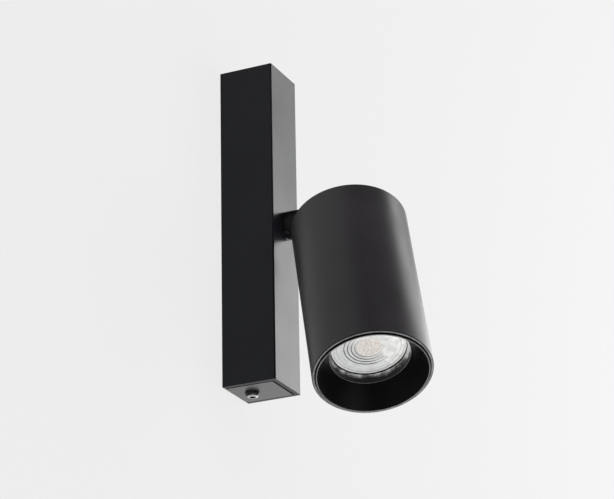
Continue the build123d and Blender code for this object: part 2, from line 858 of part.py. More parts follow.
with BuildPart() as head_knuckle:
    with BuildSketch(tongue_side.offset(-tongue_t / 2)):
        Circle(stub_r)
        with Locations((0, foot_top / 2)):
            Rectangle(2 * tongue_neck_front, -foot_top)
        with Locations(((stub_r - tongue_neck_front) / 2, -stub_r / 2)):
            Rectangle(stub_r + tongue_neck_front, stub_r)
        with Locations((-tongue_neck_front / 2, stub_r / 2)):
            Rectangle(tongue_neck_front, stub_r)
    extrude(amount=tongue_t)
    with BuildSketch(tongue_side.offset(-sleeve_bore_r)):
        with BuildLine():
            Polyline(
                (channel_front, foot_top),
                (channel_front, channel_turn),
                (-channel_relief_front, channel_relief),
                (-channel_relief_front, 2 * stub_r),
                (2 * stub_r, 2 * stub_r),
                (2 * stub_r, foot_top),
                close=True,
            )
        make_face()
    extrude(amount=2 * sleeve_bore_r, mode=Mode.SUBTRACT)
    foot_middle = (foot_back - foot_front) / 2
    with BuildSketch(head_plane(head_length, toward_wall=pivot_offset)):
        with Locations((0, foot_middle)):
            RectangleRounded(foot_width, foot_back + foot_front, foot_corner_r)
    extrude(amount=foot_t)
    with BuildSketch(head_plane(head_length, toward_wall=pivot_offset)):
        with Locations((0, sleeve_path_offset)):
            Circle(sleeve_bore_r)
    extrude(amount=foot_t, mode=Mode.SUBTRACT)
    with BuildSketch(head_plane(head_length, toward_wall=pivot_offset)):
        with Locations((0, -foot_screw_forward)):
            with GridLocations(2 * foot_screw_spread, 0, 2, 1):
                Circle(foot_screw_r + thread_gap)
    extrude(amount=foot_t, mode=Mode.SUBTRACT)
    with BuildSketch(tongue_side.offset(-tongue_t / 2)):
        Circle(tilt_screw_r + running_gap)
    extrude(amount=tongue_t, mode=Mode.SUBTRACT)
head_knuckle.part.label = "head_knuckle"

cap_inside = head_length - rear_cap_t
hanger_screw_spread = hanger_span / 2 + hanger_foot / 2

with BuildPart() as rear_cap:
    with BuildSketch(head_plane(cap_inside)):
        Circle(head_r - head_wall - fit_gap)
        with Locations((0, pivot_offset + sleeve_path_offset)):
            Circle(head_gland_neck_r + fit_gap, mode=Mode.SUBTRACT)
        with Locations((0, pivot_offset - foot_screw_forward)):
            with GridLocations(2 * foot_screw_spread, 0, 2, 1):
                Circle(foot_screw_r + screw_clearance, mode=Mode.SUBTRACT)
    extrude(amount=rear_cap_t)
    with BuildSketch(head_plane(cap_inside)):
        with GridLocations(2 * hanger_screw_spread, 0, 2, 1):
            Circle(hanger_screw_r + thread_gap)
    extrude(amount=hanger_screw_bite + fit_gap, mode=Mode.SUBTRACT)
rear_cap.part.label = "rear_cap"

with BuildPart() as head_tube:
    with BuildSketch(head_section):
        with BuildLine():
            Polyline(
                (head_r - mouth_wall, 0),
                (head_r, 0),
                (head_r, head_length),
                (head_r - head_wall, head_length),
                (head_r - head_wall, mouth_recess),
                (head_r - mouth_wall, mouth_recess),
                close=True,
            )
        make_face()
    revolve(axis=head_axis)
    rims = head_tube.edges().filter_by(GeomType.CIRCLE).group_by(SortBy.RADIUS)[-1]
    fillet(rims, radius=head_edge_round)
head_tube.part.label = "head_tube"

foot_screws_across = pivot_offset - foot_screw_forward

with BuildPart() as knuckle_screws:
    with Locations(facing_mouth(head_plane(cap_inside, toward_wall=foot_screws_across))):
        with GridLocations(2 * foot_screw_spread, 0, 2, 1):
            add(
                machine_screw(
                    foot_screw_r,
                    rear_cap_t + foot_t - fit_gap,
                    foot_screw_head_r,
                    foot_screw_head_h,
                    socket=foot_socket_across,
                    depth=foot_socket_depth,
                )
            )
knuckle_screws.part.label = "knuckle_screws"

with BuildPart() as head_gland:
    gland_at = head_plane(cap_inside, toward_wall=pivot_offset + sleeve_path_offset)
    with BuildSketch(gland_at):
        Circle(head_gland_neck_r)
        Circle(sleeve_r + fit_gap, mode=Mode.SUBTRACT)
    extrude(amount=rear_cap_t)
    with BuildSketch(gland_at):
        Circle(head_gland_neck_r + head_gland_lip)
        Circle(sleeve_r + fit_gap, mode=Mode.SUBTRACT)
    extrude(amount=-head_gland_lip_t)
head_gland.part.label = "head_gland"

# ---------------------------------------------------------------- head: baffle and seal
baffle_r = head_r - mouth_wall - baffle_gap
opening_r = lamp_r + lamp_opening_gap
cone_start_r = baffle_r - baffle_skirt_t
baffle_lip_r = lamp_r + baffle_lip_gap
baffle_end = baffle_depth + baffle_throat
o_ring_at = head_r - mouth_wall - o_ring_r

with BuildPart() as baffle:
    with BuildSketch(head_section):
        with BuildLine():
            Polyline(
                (baffle_r, -baffle_proud),
                (baffle_r, mouth_recess - fit_gap),
                (cone_start_r, mouth_recess - fit_gap),
                (cone_start_r, baffle_cone_root),
                (opening_r + baffle_cone_t, baffle_depth + baffle_cone_t / 2),
                (opening_r + baffle_cone_t, baffle_end),
                (baffle_lip_r, baffle_end),
                (baffle_lip_r, baffle_end - baffle_lip_t),
                (opening_r, baffle_end - baffle_lip_t),
                (opening_r, baffle_depth),
                (cone_start_r, baffle_rim - baffle_proud),
                (cone_start_r, -baffle_proud),
                close=True,
            )
        make_face()
    revolve(axis=head_axis)
    with BuildSketch(head_section):
        with Locations((o_ring_at, o_ring_depth)):
            Circle(o_ring_r + fit_gap)
    revolve(axis=head_axis, mode=Mode.SUBTRACT)
baffle.part.label = "baffle"

with BuildPart() as baffle_o_ring:
    with BuildSketch(head_section):
        with Locations((o_ring_at, o_ring_depth)):
            Circle(o_ring_r)
    revolve(axis=head_axis)
baffle_o_ring.part.label = "baffle_o_ring"

# ---------------------------------------------------------------- head: lamp
lamp_front = baffle_end + lamp_set_back
lamp_base = lamp_front + lamp_length
board_depth = lamp_front + lamp_lens_sink + lamp_lens_t + lamp_board_sink

glass_back = lamp_front + lamp_lens_sink + lamp_lens_t + fit_gap
board_back = board_depth + lamp_board_t + fit_gap
bezel_end = lamp_front + lamp_bezel_length
waist = lamp_front + lamp_waist_depth

with BuildPart() as lamp_body:
    with BuildSketch(head_section):
        with BuildLine():
            Line((lamp_r, lamp_front), (lamp_r, bezel_end))
            ThreePointArc(
                (lamp_r, bezel_end),
                (lamp_bulge_r, lamp_front + lamp_bulge_depth),
                (lamp_waist_r, waist),
            )
            Polyline(
                (lamp_waist_r, waist),
                (lamp_base_r, waist + lamp_base_taper),
                (lamp_base_r, lamp_base),
                (0, lamp_base),
                (0, board_back),
                (lamp_board_r + lamp_board_margin, board_back),
                (lamp_lens_r - lamp_lens_ledge, glass_back),
                (lamp_lens_r + fit_gap, glass_back),
                (lamp_lens_r + fit_gap, lamp_front),
                (lamp_r, lamp_front),
            )
        make_face()
    revolve(axis=head_axis)
lamp_body.part.label = "lamp_body"

with BuildPart() as lamp_lens:
    with BuildSketch(head_plane(lamp_front + lamp_lens_sink)):
        Circle(lamp_lens_r)
    extrude(amount=lamp_lens_t)
lamp_lens.part.label = "lamp_lens"

with BuildPart() as lamp_board:
    with BuildSketch(head_plane(board_depth)):
        Circle(lamp_board_r)
    extrude(amount=lamp_board_t)
lamp_board.part.label = "lamp_board"

with BuildPart() as lamp_chips:
    for orbit, count in zip(lamp_chip_orbits, lamp_chip_counts):
        with BuildSketch(head_plane(board_depth)):
            with PolarLocations(orbit, count):
                Circle(lamp_chip_r)
        extrude(amount=-lamp_chip_h)
lamp_chips.part.label = "lamp_chips"

with BuildPart() as lamp_pins:
    with BuildSketch(head_plane(lamp_base)):
        with GridLocations(lamp_pin_pitch, 0, 2, 1):
            Circle(lamp_pin_neck_r)
    extrude(amount=lamp_pin_neck)
    with BuildSketch(head_plane(lamp_base + lamp_pin_neck)):
        with GridLocations(lamp_pin_pitch, 0, 2, 1):
            Circle(lamp_pin_head_r)
    extrude(amount=lamp_pin_head)
lamp_pins.part.label = "lamp_pins"

# ---------------------------------------------------------------- head: lampholder and hanger
holder_front = lamp_base + holder_gap
holder_rear = holder_front + holder_height

with BuildPart() as lampholder:
    with BuildSketch(head_plane(holder_front)):
        RectangleRounded(holder_width, holder_depth, holder_corner_r)
        with GridLocations(holder_screw_pitch, 0, 2, 1):
            Circle(holder_screw_r + screw_clearance, mode=Mode.SUBTRACT)
    extrude(amount=holder_height)
    with BuildSketch(head_plane(holder_front)):
        with GridLocations(lamp_pin_pitch, 0, 2, 1):
            Circle(holder_pin_hole_r)
    extrude(amount=holder_pin_hole_depth, mode=Mode.SUBTRACT)
    with BuildSketch(head_plane(holder_front)):
        with GridLocations(holder_screw_pitch, 0, 2, 1):
            Circle(holder_screw_head_r + screw_clearance)
    extrude(amount=holder_screw_sink, mode=Mode.SUBTRACT)
    with BuildSketch(head_plane(holder_rear)):
        with GridLocations(2 * lead_pair, 0, 2, 1):
            Circle(lead_r + fit_gap)
    extrude(amount=-(holder_height - holder_pin_hole_depth - holder_floor), mode=Mode.SUBTRACT)
lampholder.part.label = "lampholder"

with BuildPart() as holder_screws:
    with Locations(facing_mouth(head_plane(holder_front + holder_screw_sink))):
        with GridLocations(holder_screw_pitch, 0, 2, 1):
            add(
                machine_screw(
                    holder_screw_r,
                    holder_height - holder_screw_sink + hanger_t + holder_screw_tail,
                    holder_screw_head_r,
                    holder_screw_head_h,
                    slot=screw_slot,
                    depth=screw_slot_depth,
                )
            )
holder_screws.part.label = "holder_screws"

hanger_section = Plane(
    origin=mouth - head_section.z_dir * (hanger_width / 2),
    x_dir=arm_side,
    z_dir=head_section.z_dir,
)
leg_outside = hanger_span / 2
leg_inside = leg_outside - hanger_t
foot_end = leg_outside + hanger_foot

with BuildPart() as lampholder_hanger:
    with BuildSketch(hanger_section):
        with BuildLine():
            Polyline(
                (leg_outside, holder_rear),
                (leg_outside, cap_inside - hanger_t),
                (foot_end, cap_inside - hanger_t),
                (foot_end, cap_inside),
                (leg_inside, cap_inside),
                (leg_inside, holder_rear + hanger_t),
                (0, holder_rear + hanger_t),
                (0, holder_rear),
                close=True,
            )
        make_face()
        mirror(about=Plane.YZ)
    extrude(amount=hanger_width)
    with BuildSketch(head_plane(holder_rear)):
        with GridLocations(holder_screw_pitch, 0, 2, 1):
            Circle(holder_screw_r + thread_gap)
        Circle(hanger_lead_hole_r)
    extrude(amount=hanger_t, mode=Mode.SUBTRACT)
    with BuildSketch(head_plane(cap_inside)):
        with GridLocations(2 * hanger_screw_spread, 0, 2, 1):
            Circle(hanger_screw_r + screw_clearance)
    extrude(amount=-hanger_t, mode=Mode.SUBTRACT)
lampholder_hanger.part.label = "lampholder_hanger"

with BuildPart() as hanger_screws:
    with Locations(facing_mouth(head_plane(cap_inside - hanger_t))):
        with GridLocations(2 * hanger_screw_spread, 0, 2, 1):
            add(
                machine_screw(
                    hanger_screw_r,
                    hanger_t + hanger_screw_bite,
                    hanger_screw_head_r,
                    hanger_screw_head_h,
                    slot=screw_slot,
                    depth=screw_slot_depth,
                )
            )
hanger_screws.part.label = "hanger_screws"

# ---------------------------------------------------------------- head: internal leads
holder_lead_start = holder_rear + hanger_t + holder_lead_reach


def head_point(depth, toward_wall):
    """A point in the head's middle plane, this deep behind the mouth."""
    return mouth + head_back * depth + head_wallward * toward_wall


gland_across = pivot_offset + sleeve_path_offset
head_sleeve_route = [
    head_point(head_length + foot_t, gland_across),
    head_point(head_length + foot_t - head_sleeve_run, gland_across),
    head_point(holder_lead_start + head_sleeve_run, 0),
    head_point(holder_lead_start, 0),
]
with BuildPart() as head_sleeve:
    add(swept_lead(head_sleeve_route, route_radii(head_sleeve_route), sleeve_r))
head_sleeve.part.label = "head_sleeve"

holder_lead_end = holder_front + holder_pin_hole_depth + holder_floor + lead_end_gap

with BuildPart() as holder_leads:
    with BuildSketch(head_plane(holder_lead_start)):
        with GridLocations(2 * lead_pair, 0, 2, 1):
            Circle(lead_r)
    extrude(amount=-(holder_lead_start - holder_lead_end))
holder_leads.part.label = "holder_leads"

# ---------------------------------------------------------------- one file per piece
os.makedirs("parts", exist_ok=True)
pieces = [
    bar_housing,
    bottom_end_plate,
    top_end_plate,
    wall_bracket,
    press_nuts,
    cover_screws,
    cable_grommet,
    terminal_block,
    terminal_ferrules,
    terminal_screws,
    terminal_fixing_screw,
    earth_ring_tag,
    earth_washer,
    earth_screw,
    bar_sleeve,
    live_lead,
    neutral_lead,
    earth_lead,
    swivel_collar,
    bearing_washer,
    stop_pin,
    swivel_nipple,
    stop_washer,
    spring_washer,
    swivel_nut,
    swivel_stub,
    stub_grub_screw,
    tilt_screw,
    tilt_nut,
    friction_washers,
    arm_sleeve,
    knuckle_sleeve,
    head_knuckle,
    rear_cap,
    head_tube,
    knuckle_screws,
    head_gland,
    baffle,
    baffle_o_ring,
    lamp_body,
    lamp_lens,
    lamp_board,
    lamp_chips,
    lamp_pins,
    lampholder,
    holder_screws,
    lampholder_hanger,
    hanger_screws,
    head_sleeve,
    holder_leads,
]
for piece in pieces:
    export_step(piece.part, f"parts/{piece.part.label}.step")
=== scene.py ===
"""The looks of the pivoting spotlight wall light: its fine meshes, finishes, wall, light and camera.

Sizes are in metres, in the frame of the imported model: +Z is up, the room lies towards -Y, and the
wall is the plane Y = 0. The head's own pieces are turned about the head's axis, and their depths are
counted from the mouth towards the rear cap.
"""
import json
import logging
from dataclasses import dataclass
from enum import Enum
from math import atan2, cos, pi, radians, sin, tan
from typing import Optional, Sequence, Union

import bmesh
import bpy
from mathutils import Matrix, Vector


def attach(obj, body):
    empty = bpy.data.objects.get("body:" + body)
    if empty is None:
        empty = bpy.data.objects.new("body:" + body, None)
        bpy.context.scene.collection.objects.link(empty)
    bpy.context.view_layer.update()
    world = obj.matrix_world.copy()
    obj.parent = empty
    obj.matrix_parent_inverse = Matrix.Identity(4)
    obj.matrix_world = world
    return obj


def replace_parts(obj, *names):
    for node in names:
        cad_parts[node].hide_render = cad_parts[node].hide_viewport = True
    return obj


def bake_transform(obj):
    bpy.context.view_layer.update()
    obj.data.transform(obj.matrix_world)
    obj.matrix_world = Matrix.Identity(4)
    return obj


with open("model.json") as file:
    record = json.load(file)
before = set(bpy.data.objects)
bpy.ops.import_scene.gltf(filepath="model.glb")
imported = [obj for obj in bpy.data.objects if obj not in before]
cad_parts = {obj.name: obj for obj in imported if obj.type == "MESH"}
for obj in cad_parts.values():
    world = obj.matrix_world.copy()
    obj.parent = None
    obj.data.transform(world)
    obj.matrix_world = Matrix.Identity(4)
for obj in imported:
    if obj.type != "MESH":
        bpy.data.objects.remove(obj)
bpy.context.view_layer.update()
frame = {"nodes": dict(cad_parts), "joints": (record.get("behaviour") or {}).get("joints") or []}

log = logging.getLogger("wall_light")

Colour = tuple[float, float, float]
Point2 = tuple[float, float]
Point3 = tuple[float, float, float]
Band = tuple[float, float, float, float]
Socket = bpy.types.NodeSocket
Value = Union[Socket, float, Colour]

PHOTO_SIZE = (614, 499)

CONE_DEPTH = 0.0148    # where the baffle's cone ends and its throat starts
THROAT_LENGTH = 0.0067
NEAR = 1e-5            # slack when a face or a point is sorted by its place
CREASE = 32.0          # edges sharper than this many degrees stay sharp
WALL = Vector((0.0, 1.0, 0.0))    # the direction into the wall


# ---- node trees ----
class Tree:
    """The nodes of a material or of the world, and short calls that add to them."""

    def __init__(self, owner: Union[bpy.types.Material, bpy.types.World]) -> None:
        """Empties the node tree of its owner.

        Args:
            owner: The material or the world.
        """
        owner.use_nodes = True
        self.tree = owner.node_tree
        self.tree.nodes.clear()

    def give(self, target: Socket, value: Value) -> None:
        """Links a socket to an input, or sets the input's own value.

        Args:
            target: The input.
            value: A socket, a number, a vector or a colour.
        """
        if isinstance(value, bpy.types.NodeSocket):
            self.tree.links.new(value, target)
        elif target.type == "RGBA":
            target.default_value = (*value, 1.0)
        else:
            target.default_value = value

    def feed(self, node: bpy.types.Node, **inputs: Value) -> bpy.types.Node:
        """Gives a node's inputs their values by name.

        Args:
            node: The node.
            **inputs: The inputs' names, with underscores for spaces, and their values.

        Returns:
            The node.
        """
        for name, value in inputs.items():
            self.give(node.inputs[name.replace("_", " ")], value)
        return node

    def fill(self, node: bpy.types.Node, *values: Value) -> Socket:
        """Gives a node's inputs their values in order.

        Args:
            node: The node.
            *values: The values.

        Returns:
            The node's first output.
        """
        for target, value in zip(node.inputs, values):
            self.give(target, value)
        return node.outputs[0]

    def add(self, kind: str, **inputs: Value) -> bpy.types.Node:
        """Adds a node of a kind, and gives its inputs their values by name."""
        return self.feed(self.tree.nodes.new(f"ShaderNode{kind}"), **inputs)

    def maths(self, operation: str, first: Value, second: Value = 0.0) -> Socket:
        """Adds a calculation on two sockets or numbers.

        Args:
            operation: The calculation's name.
            first: A socket or a number.
            second: A socket or a number.

        Returns:
            The socket with the result.
        """
        node = self.add("Math")
        node.operation = operation
        return self.fill(node, first, second)


class Graph(Tree):
    """The nodes of one finish, with its surface shader."""

    def __init__(self, name: str) -> None:
        """Makes an empty material with one surface shader.

        Args:
            name: The finish's name.
        """
        self.material = bpy.data.materials.new(name)
        super().__init__(self.material)
        self.output = self.add("OutputMaterial")
        self.surface = self.add("BsdfPrincipled")
        self.give(self.output.inputs["Surface"], self.surface.outputs["BSDF"])
        self.place = self.add("TexCoord").outputs["Object"]

    def look(self, **inputs: Value) -> None:
        """Gives the surface shader's inputs their values by name."""
        self.feed(self.surface, **inputs)

    def noise(self, scale: float, detail: float = 3.0, place: Optional[Socket] = None) -> Socket:
        """A noise from 0 to 1, in features per metre, read at the piece's place or at another."""
        return self.add("TexNoise", Scale=scale, Detail=detail, Vector=place or self.place).outputs["Fac"]

    def stretched(self, stretch: Point3) -> Socket:
        """The piece's coordinates, stretched along each axis."""
        return self.add("Mapping", Scale=stretch, Vector=self.place).outputs["Vector"]

    def span(self, value: Socket, low: float, high: float, start: float = 0.3, end: float = 0.7) -> Socket:
        """A value spread evenly, so that start gives low and end gives high."""
        ends = {"From_Min": start, "From_Max": end, "To_Min": low, "To_Max": high}
        return self.add("MapRange", Value=value, **ends).outputs["Result"]

    def ramp(self, value: Socket, stops: Sequence[tuple[float, Colour]]) -> Socket:
        """Turns a value into colours.

        Args:
            value: The socket to colour.
            stops: Places from 0 to 1, and the colour at each.

        Returns:
            The socket with the colour.
        """
        node = self.add("ValToRGB", Fac=value)
        elements = node.color_ramp.elements
        while len(elements) < len(stops):
            elements.new(1.0)
        for element, (place, colour) in zip(elements, stops):
            element.position = place
            element.color = (*colour, 1.0)
        return node.outputs["Color"]

    def mottled(
        self, value: Socket, colour: Colour, darker: float, lighter: float, start: float = 0.3,
        end: float = 0.7,
    ) -> Socket:
        """A colour that loses or gains a share of itself as a value goes from start to end."""
        return self.ramp(value, [(start, shade(colour, -darker)), (end, shade(colour, lighter))])

    def blend(self, share: Socket, first: Value, second: Value) -> Socket:
        """Mixes two colours.

        Args:
            share: The socket that says how much of the second colour there is.
            first: A socket or a colour.
            second: A socket or a colour.

        Returns:
            The socket with the mixed colour.
        """
        node = self.add("Mix", Factor=share)
        node.data_type = "RGBA"
        for target, colour in zip(node.inputs[6:8], (first, second)):
            self.give(target, colour)
        return node.outputs[2]

    def parts(self, source: Optional[Socket] = None) -> bpy.types.NodeOutputs:
        """The X, Y and Z of a vector, or of the piece's coordinates."""
        return self.add("SeparateXYZ", Vector=source or self.place).outputs

    def facing(self) -> bpy.types.NodeOutputs:
        """The X, Y and Z of the direction that the surface faces."""
        return self.parts(self.add("TexCoord").outputs["Normal"])

    def attribute(self, name: str) -> Socket:
        """A value that the mesh carries at its points."""
        node = self.add("Attribute")
        node.attribute_name = name
        return node.outputs["Fac"]

    def raised(self, height: Socket, depth: float) -> None:
        """Bumps the surface by a height from 0 to 1, over a depth in metres."""
        self.look(Normal=self.add("Bump", Distance=depth, Height=height).outputs["Normal"])

    def rough(self, value: Socket, mean: float, less: float, more: float) -> None:
        """Lets the roughness follow a value, from less than its mean to more."""
        self.look(Roughness=self.span(value, mean - less, mean + more))


def shade(colour: Colour, share: float) -> Colour:
    """A colour made lighter or darker by a share of itself."""
    return tuple(min(1.0, channel * (1.0 + share)) for channel in colour)


# ---- finishes ----
@dataclass(frozen=True)
class Finish:
    """A finish that any piece can take.

    Attributes:
        name: The finish's name.
        slot: The record's material slot that it belongs to; not used.
        colour: Its plain colour.
        roughness: Its mean roughness.
    """

    name: str
    slot: str
    colour: Colour
    roughness: float

    def material(self) -> bpy.types.Material:
        """Finds the finish's material, or makes it.

        Returns:
            The material.
        """
        if self.name not in bpy.data.materials:
            self.paint()
        return bpy.data.materials[self.name]

    def paint(self) -> None:
        """Makes the finish's material and its node tree."""
        raise NotImplementedError


@dataclass(frozen=True)
class PowderCoat(Finish):
    """Baked powder coat: a faint orange peel, soft clouds in its colour and gloss.

    Attributes:
        cloud: Change of colour between clouds, as a share.
        gloss_spread: Change of roughness between clouds.
        specular: Strength of its reflections.
        peel: Depth of the orange peel.
        painted_corner_shade: Whether the reflection is turned down on upright rounded corners, a painted
            dark line of shade along them.
    """

    cloud: float = 0.25
    gloss_spread: float = 0.05
    specular: float = 0.38
    peel: float = 0.000012
    painted_corner_shade: bool = False

    def paint(self) -> None:
        """Makes clouds of colour and gloss over fine grain."""
        graph = Graph(self.name)
        clouds = graph.noise(scale=24.0, detail=4.0)
        grain = graph.noise(scale=1500.0, detail=2.0)
        tone = graph.maths("MULTIPLY", graph.maths("ADD", clouds, grain), 0.5)
        graph.look(Base_Color=graph.mottled(tone, self.colour, self.cloud, self.cloud, 0.35, 0.65))
        graph.rough(clouds, self.roughness, less=self.gloss_spread, more=self.gloss_spread)
        graph.raised(grain, self.peel)
        graph.look(Specular_IOR_Level=self.specular)
        # Painted shade: where the surface faces between X and Y, on the upright rounded corners, the
        # reflection is turned down to a dark line.
        if self.painted_corner_shade:
            face = graph.facing()
            across = graph.maths("ABSOLUTE", graph.maths("MULTIPLY", face["X"], face["Y"]))
            gloss = graph.span(across, low=self.specular, high=0.02, start=0.05, end=0.2)
            graph.look(Specular_IOR_Level=gloss)


@dataclass(frozen=True)
class WornBlack(Finish):
    """Blackened steel whose flat lower face is burnished.

    Attributes:
        worn: Colour of the burnished face.
    """

    worn: Colour = (0.62, 0.62, 0.60)

    def paint(self) -> None:
        """Makes the black finish, worn bright where the surface faces down."""
        graph = Graph(self.name)
        patches = graph.noise(scale=420.0, detail=3.0)
        down = graph.span(graph.facing()["Z"], low=0.0, high=1.0, start=-0.76, end=-0.92)
        black = graph.mottled(patches, self.colour, darker=0.3, lighter=0.3, start=0.35, end=0.65)
        bright = graph.mottled(patches, self.worn, darker=0.25, lighter=0.0, start=0.35, end=0.65)
        graph.look(Base_Color=graph.blend(down, black, bright))
        graph.look(Metallic=down)
        graph.rough(patches, self.roughness, less=0.05, more=0.08)
        graph.raised(patches, depth=0.000006)
        graph.look(Specular_IOR_Level=0.15)


@dataclass(frozen=True)
class EdgeHighlight(Finish):
    """A turned rim painted lighter than its coat, a painted highlight where the rim catches light, with
    fine turning marks.

    Attributes:
        metallic: How metallic the lighter rim looks.
        ring: Spacing of the turning marks.
    """

    metallic: float = 0.5
    ring: float = 0.0002

    def paint(self) -> None:
        """Makes fine turning marks with small breaks of tone."""
        graph = Graph(self.name)
        breaks = graph.noise(scale=260.0, detail=3.0)
        # Painted highlight: the light colour stands in for the light that the rim catches.
        graph.look(Base_Color=graph.mottled(breaks, self.colour, darker=0.35, lighter=0.3))
        graph.rough(breaks, self.roughness, less=0.06, more=0.08)
        graph.raised(graph.noise(scale=1.0 / self.ring, detail=1.0), depth=0.000004)
        graph.look(Metallic=self.metallic)


@dataclass(frozen=True)
class Plated(Finish):
    """Plated or turned metal with fine scratches.

    Attributes:
        stretch: How the scratches run: small along their length.
    """

    stretch: Point3 = (1.0, 1.0, 0.15)

    def paint(self) -> None:
        """Makes fine scratches and a cloudy tarnish."""
        graph = Graph(self.name)
        tarnish = graph.noise(scale=140.0, detail=4.0)
        scratch = graph.noise(scale=2600.0, detail=2.0, place=graph.stretched(self.stretch))
        graph.look(Base_Color=graph.mottled(tarnish, self.colour, darker=0.22, lighter=0.08))
        graph.rough(scratch, self.roughness, less=0.08, more=0.1)
        graph.raised(scratch, depth=0.000005)
        graph.look(Metallic=1.0)


@dataclass(frozen=True)
class Moulded(Finish):
    """Moulded plastic, rubber or ceramic with a fine texture.

    Attributes:
        grain: Size of its texture.
        depth: Depth of its texture.
        specular: Strength of its reflections.
    """

    grain: float = 0.0006
    depth: float = 0.000012
    specular: float = 0.5

    def paint(self) -> None:
        """Makes a fine texture with a slight change of tone."""
        graph = Graph(self.name)
        texture = graph.noise(scale=1.0 / self.grain, detail=3.0)
        tone = graph.noise(scale=60.0, detail=3.0)
        graph.look(Base_Color=graph.mottled(tone, self.colour, darker=0.1, lighter=0.06))
        graph.rough(texture, self.roughness, less=0.05, more=0.06)
        graph.raised(texture, self.depth)
        graph.look(Specular_IOR_Level=self.specular)


@dataclass(frozen=True)
class Insulation(Finish):
    """A lead's insulation, plain or with a stripe along it.

    Attributes:
        stripe: The stripe's colour, or None.
        stripe_width: Width of one stripe.
    """

    stripe: Optional[Colour] = None
    stripe_width: float = 0.0016

    def paint(self) -> None:
        """Makes a slightly mottled insulation, with its stripe."""
        graph = Graph(self.name)
        mottle = graph.noise(scale=400.0, detail=2.0)
        plain = graph.mottled(mottle, self.colour, darker=0.15, lighter=0.1)
        if self.stripe:
            turns = graph.maths("MULTIPLY", graph.parts()["X"], 2 * pi / self.stripe_width)
            striped = graph.maths("GREATER_THAN", graph.maths("SINE", turns), 0.1)
            plain = graph.blend(striped, plain, self.stripe)
        graph.look(Base_Color=plain)
        graph.rough(mottle, self.roughness, less=0.05, more=0.05)


@dataclass(frozen=True)
class LensShape:
    """The sizes that the lens's mesh and its finish share.

    Attributes:
        radius: Radius of the lens.
        ring_start: Radius where the moulded rings start.
        ring_end: Radius where they end.
        ring_pitch: Distance between rings.
        ring_slope: The share of the pitch that a ring's gentle face takes.
    """

    radius: float = 0.0238
    ring_start: float = 0.0072
    ring_end: float = 0.0168
    ring_pitch: float = 0.0024
    ring_slope: float = 0.74


@dataclass(frozen=True)
class LensPlastic(Finish):
    """The lamp's lens: a speckled middle, moulded rings, a milky edge, and painted shade on one side and
    in the rings.

    Attributes:
        shape: The lens's sizes.
        clear_radius: Radius of the speckled middle, where the board shows through.
        blur: How far the middle's edge reaches in and out of that radius.
        cloud_fade: How far outside the rings' start their painted shade clouds begin to fade.
        flange_radius: Radius of the fine line inside the lens's flange.
        flange_line: Width of that line.
        warm: Colour of the speckles over the board.
        cool: Colour of the painted shade clouds in the rings, and of the flange's line.
        side_weight: How much more Y counts than X in the side of the lens with painted shade.
        painted_shade_side: Sums of X and weighted Y between which the painted shade and the rings' dark
            lines deepen.
    """

    shape: LensShape = LensShape()
    clear_radius: float = 0.0085
    blur: Point2 = (0.0012, 0.0014)
    cloud_fade: float = 0.002
    flange_radius: float = 0.0214
    flange_line: float = 0.0005
    warm: Colour = (0.86, 0.78, 0.72)
    cool: Colour = (0.56, 0.565, 0.575)
    side_weight: float = 3.0
    painted_shade_side: Point2 = (-0.398, -0.362)

    def paint(self) -> None:
        """Makes the speckled middle and lays the rings, painted shade clouds and lines round it."""
        graph = Graph(self.name)
        radius = graph.attribute("turned_radius")
        speck = graph.noise(scale=1100.0, detail=3.0)
        dark = shade(self.warm, -0.42)
        middle = graph.ramp(speck, [(0.34, dark), (0.5, self.warm), (0.66, self.colour)])
        inside, outside = self.clear_radius - self.blur[0], self.clear_radius + self.blur[1]
        share = graph.span(radius, low=0.0, high=1.0, start=inside, end=outside)
        graph.look(Base_Color=graph.blend(share, middle, self.ringed(graph, radius)))
        milk = graph.span(radius, low=0.88, high=1.0, start=self.clear_radius, end=self.shape.radius)
        graph.look(Alpha=milk)
        graph.rough(speck, self.roughness, less=0.04, more=0.10)
        graph.raised(speck, depth=0.00001)
        graph.look(Specular_IOR_Level=0.3)

    def ringed(self, graph: Graph, radius: Socket) -> Socket:
        """Makes the painted shade clouds between the rings, the painted shade on the rings' steep faces
        and the flange's line.

        Args:
            graph: The finish's node tree.
            radius: The socket with the distance from the lens's middle.

        Returns:
            The socket with the colour outside the speckled middle.
        """
        shape, place = self.shape, graph.parts()
        cloud = graph.noise(scale=75.0, detail=3.0)
        streak = graph.noise(scale=260.0, detail=4.0)
        sideways = graph.maths("ADD", place["X"], graph.maths("MULTIPLY", place["Y"], self.side_weight))
        # Painted shade: the lens is greyed towards one side, by place along X and Y.
        side_shade = graph.span(sideways, 0.0, 1.0, *self.painted_shade_side)
        outer = graph.mottled(streak, self.colour, darker=0.24, lighter=0.0, start=0.32, end=0.6)
        outer = graph.blend(graph.maths("MULTIPLY", side_shade, 0.5), outer, self.cool)
        fading = graph.span(radius, 1.0, 0.0, shape.ring_start + self.cloud_fade, shape.ring_end)
        cloud_shade = graph.span(cloud, low=0.0, high=0.9, start=0.42, end=0.62)
        cloud_shade = graph.maths("MULTIPLY", cloud_shade, graph.maths("MULTIPLY", fading, side_shade))
        outer = graph.blend(cloud_shade, outer, self.cool)
        # Painted shade: the rings' steep faces are coloured nearly black on the shaded side.
        turns = graph.maths("DIVIDE", graph.maths("SUBTRACT", radius, shape.ring_start), shape.ring_pitch)
        line = graph.maths("GREATER_THAN", graph.maths("FRACT", turns), shape.ring_slope)
        line = graph.maths("MULTIPLY", line, graph.maths("LESS_THAN", radius, shape.ring_end))
        line = graph.maths("MULTIPLY", line, graph.maths("GREATER_THAN", radius, shape.ring_start))
        outer = graph.blend(graph.maths("MULTIPLY", line, side_shade), outer, shade(self.cool, -0.86))
        off_flange = graph.maths("ABSOLUTE", graph.maths("SUBTRACT", radius, self.flange_radius))
        on_flange = graph.maths("LESS_THAN", off_flange, self.flange_line / 2)
        return graph.blend(on_flange, outer, self.cool)


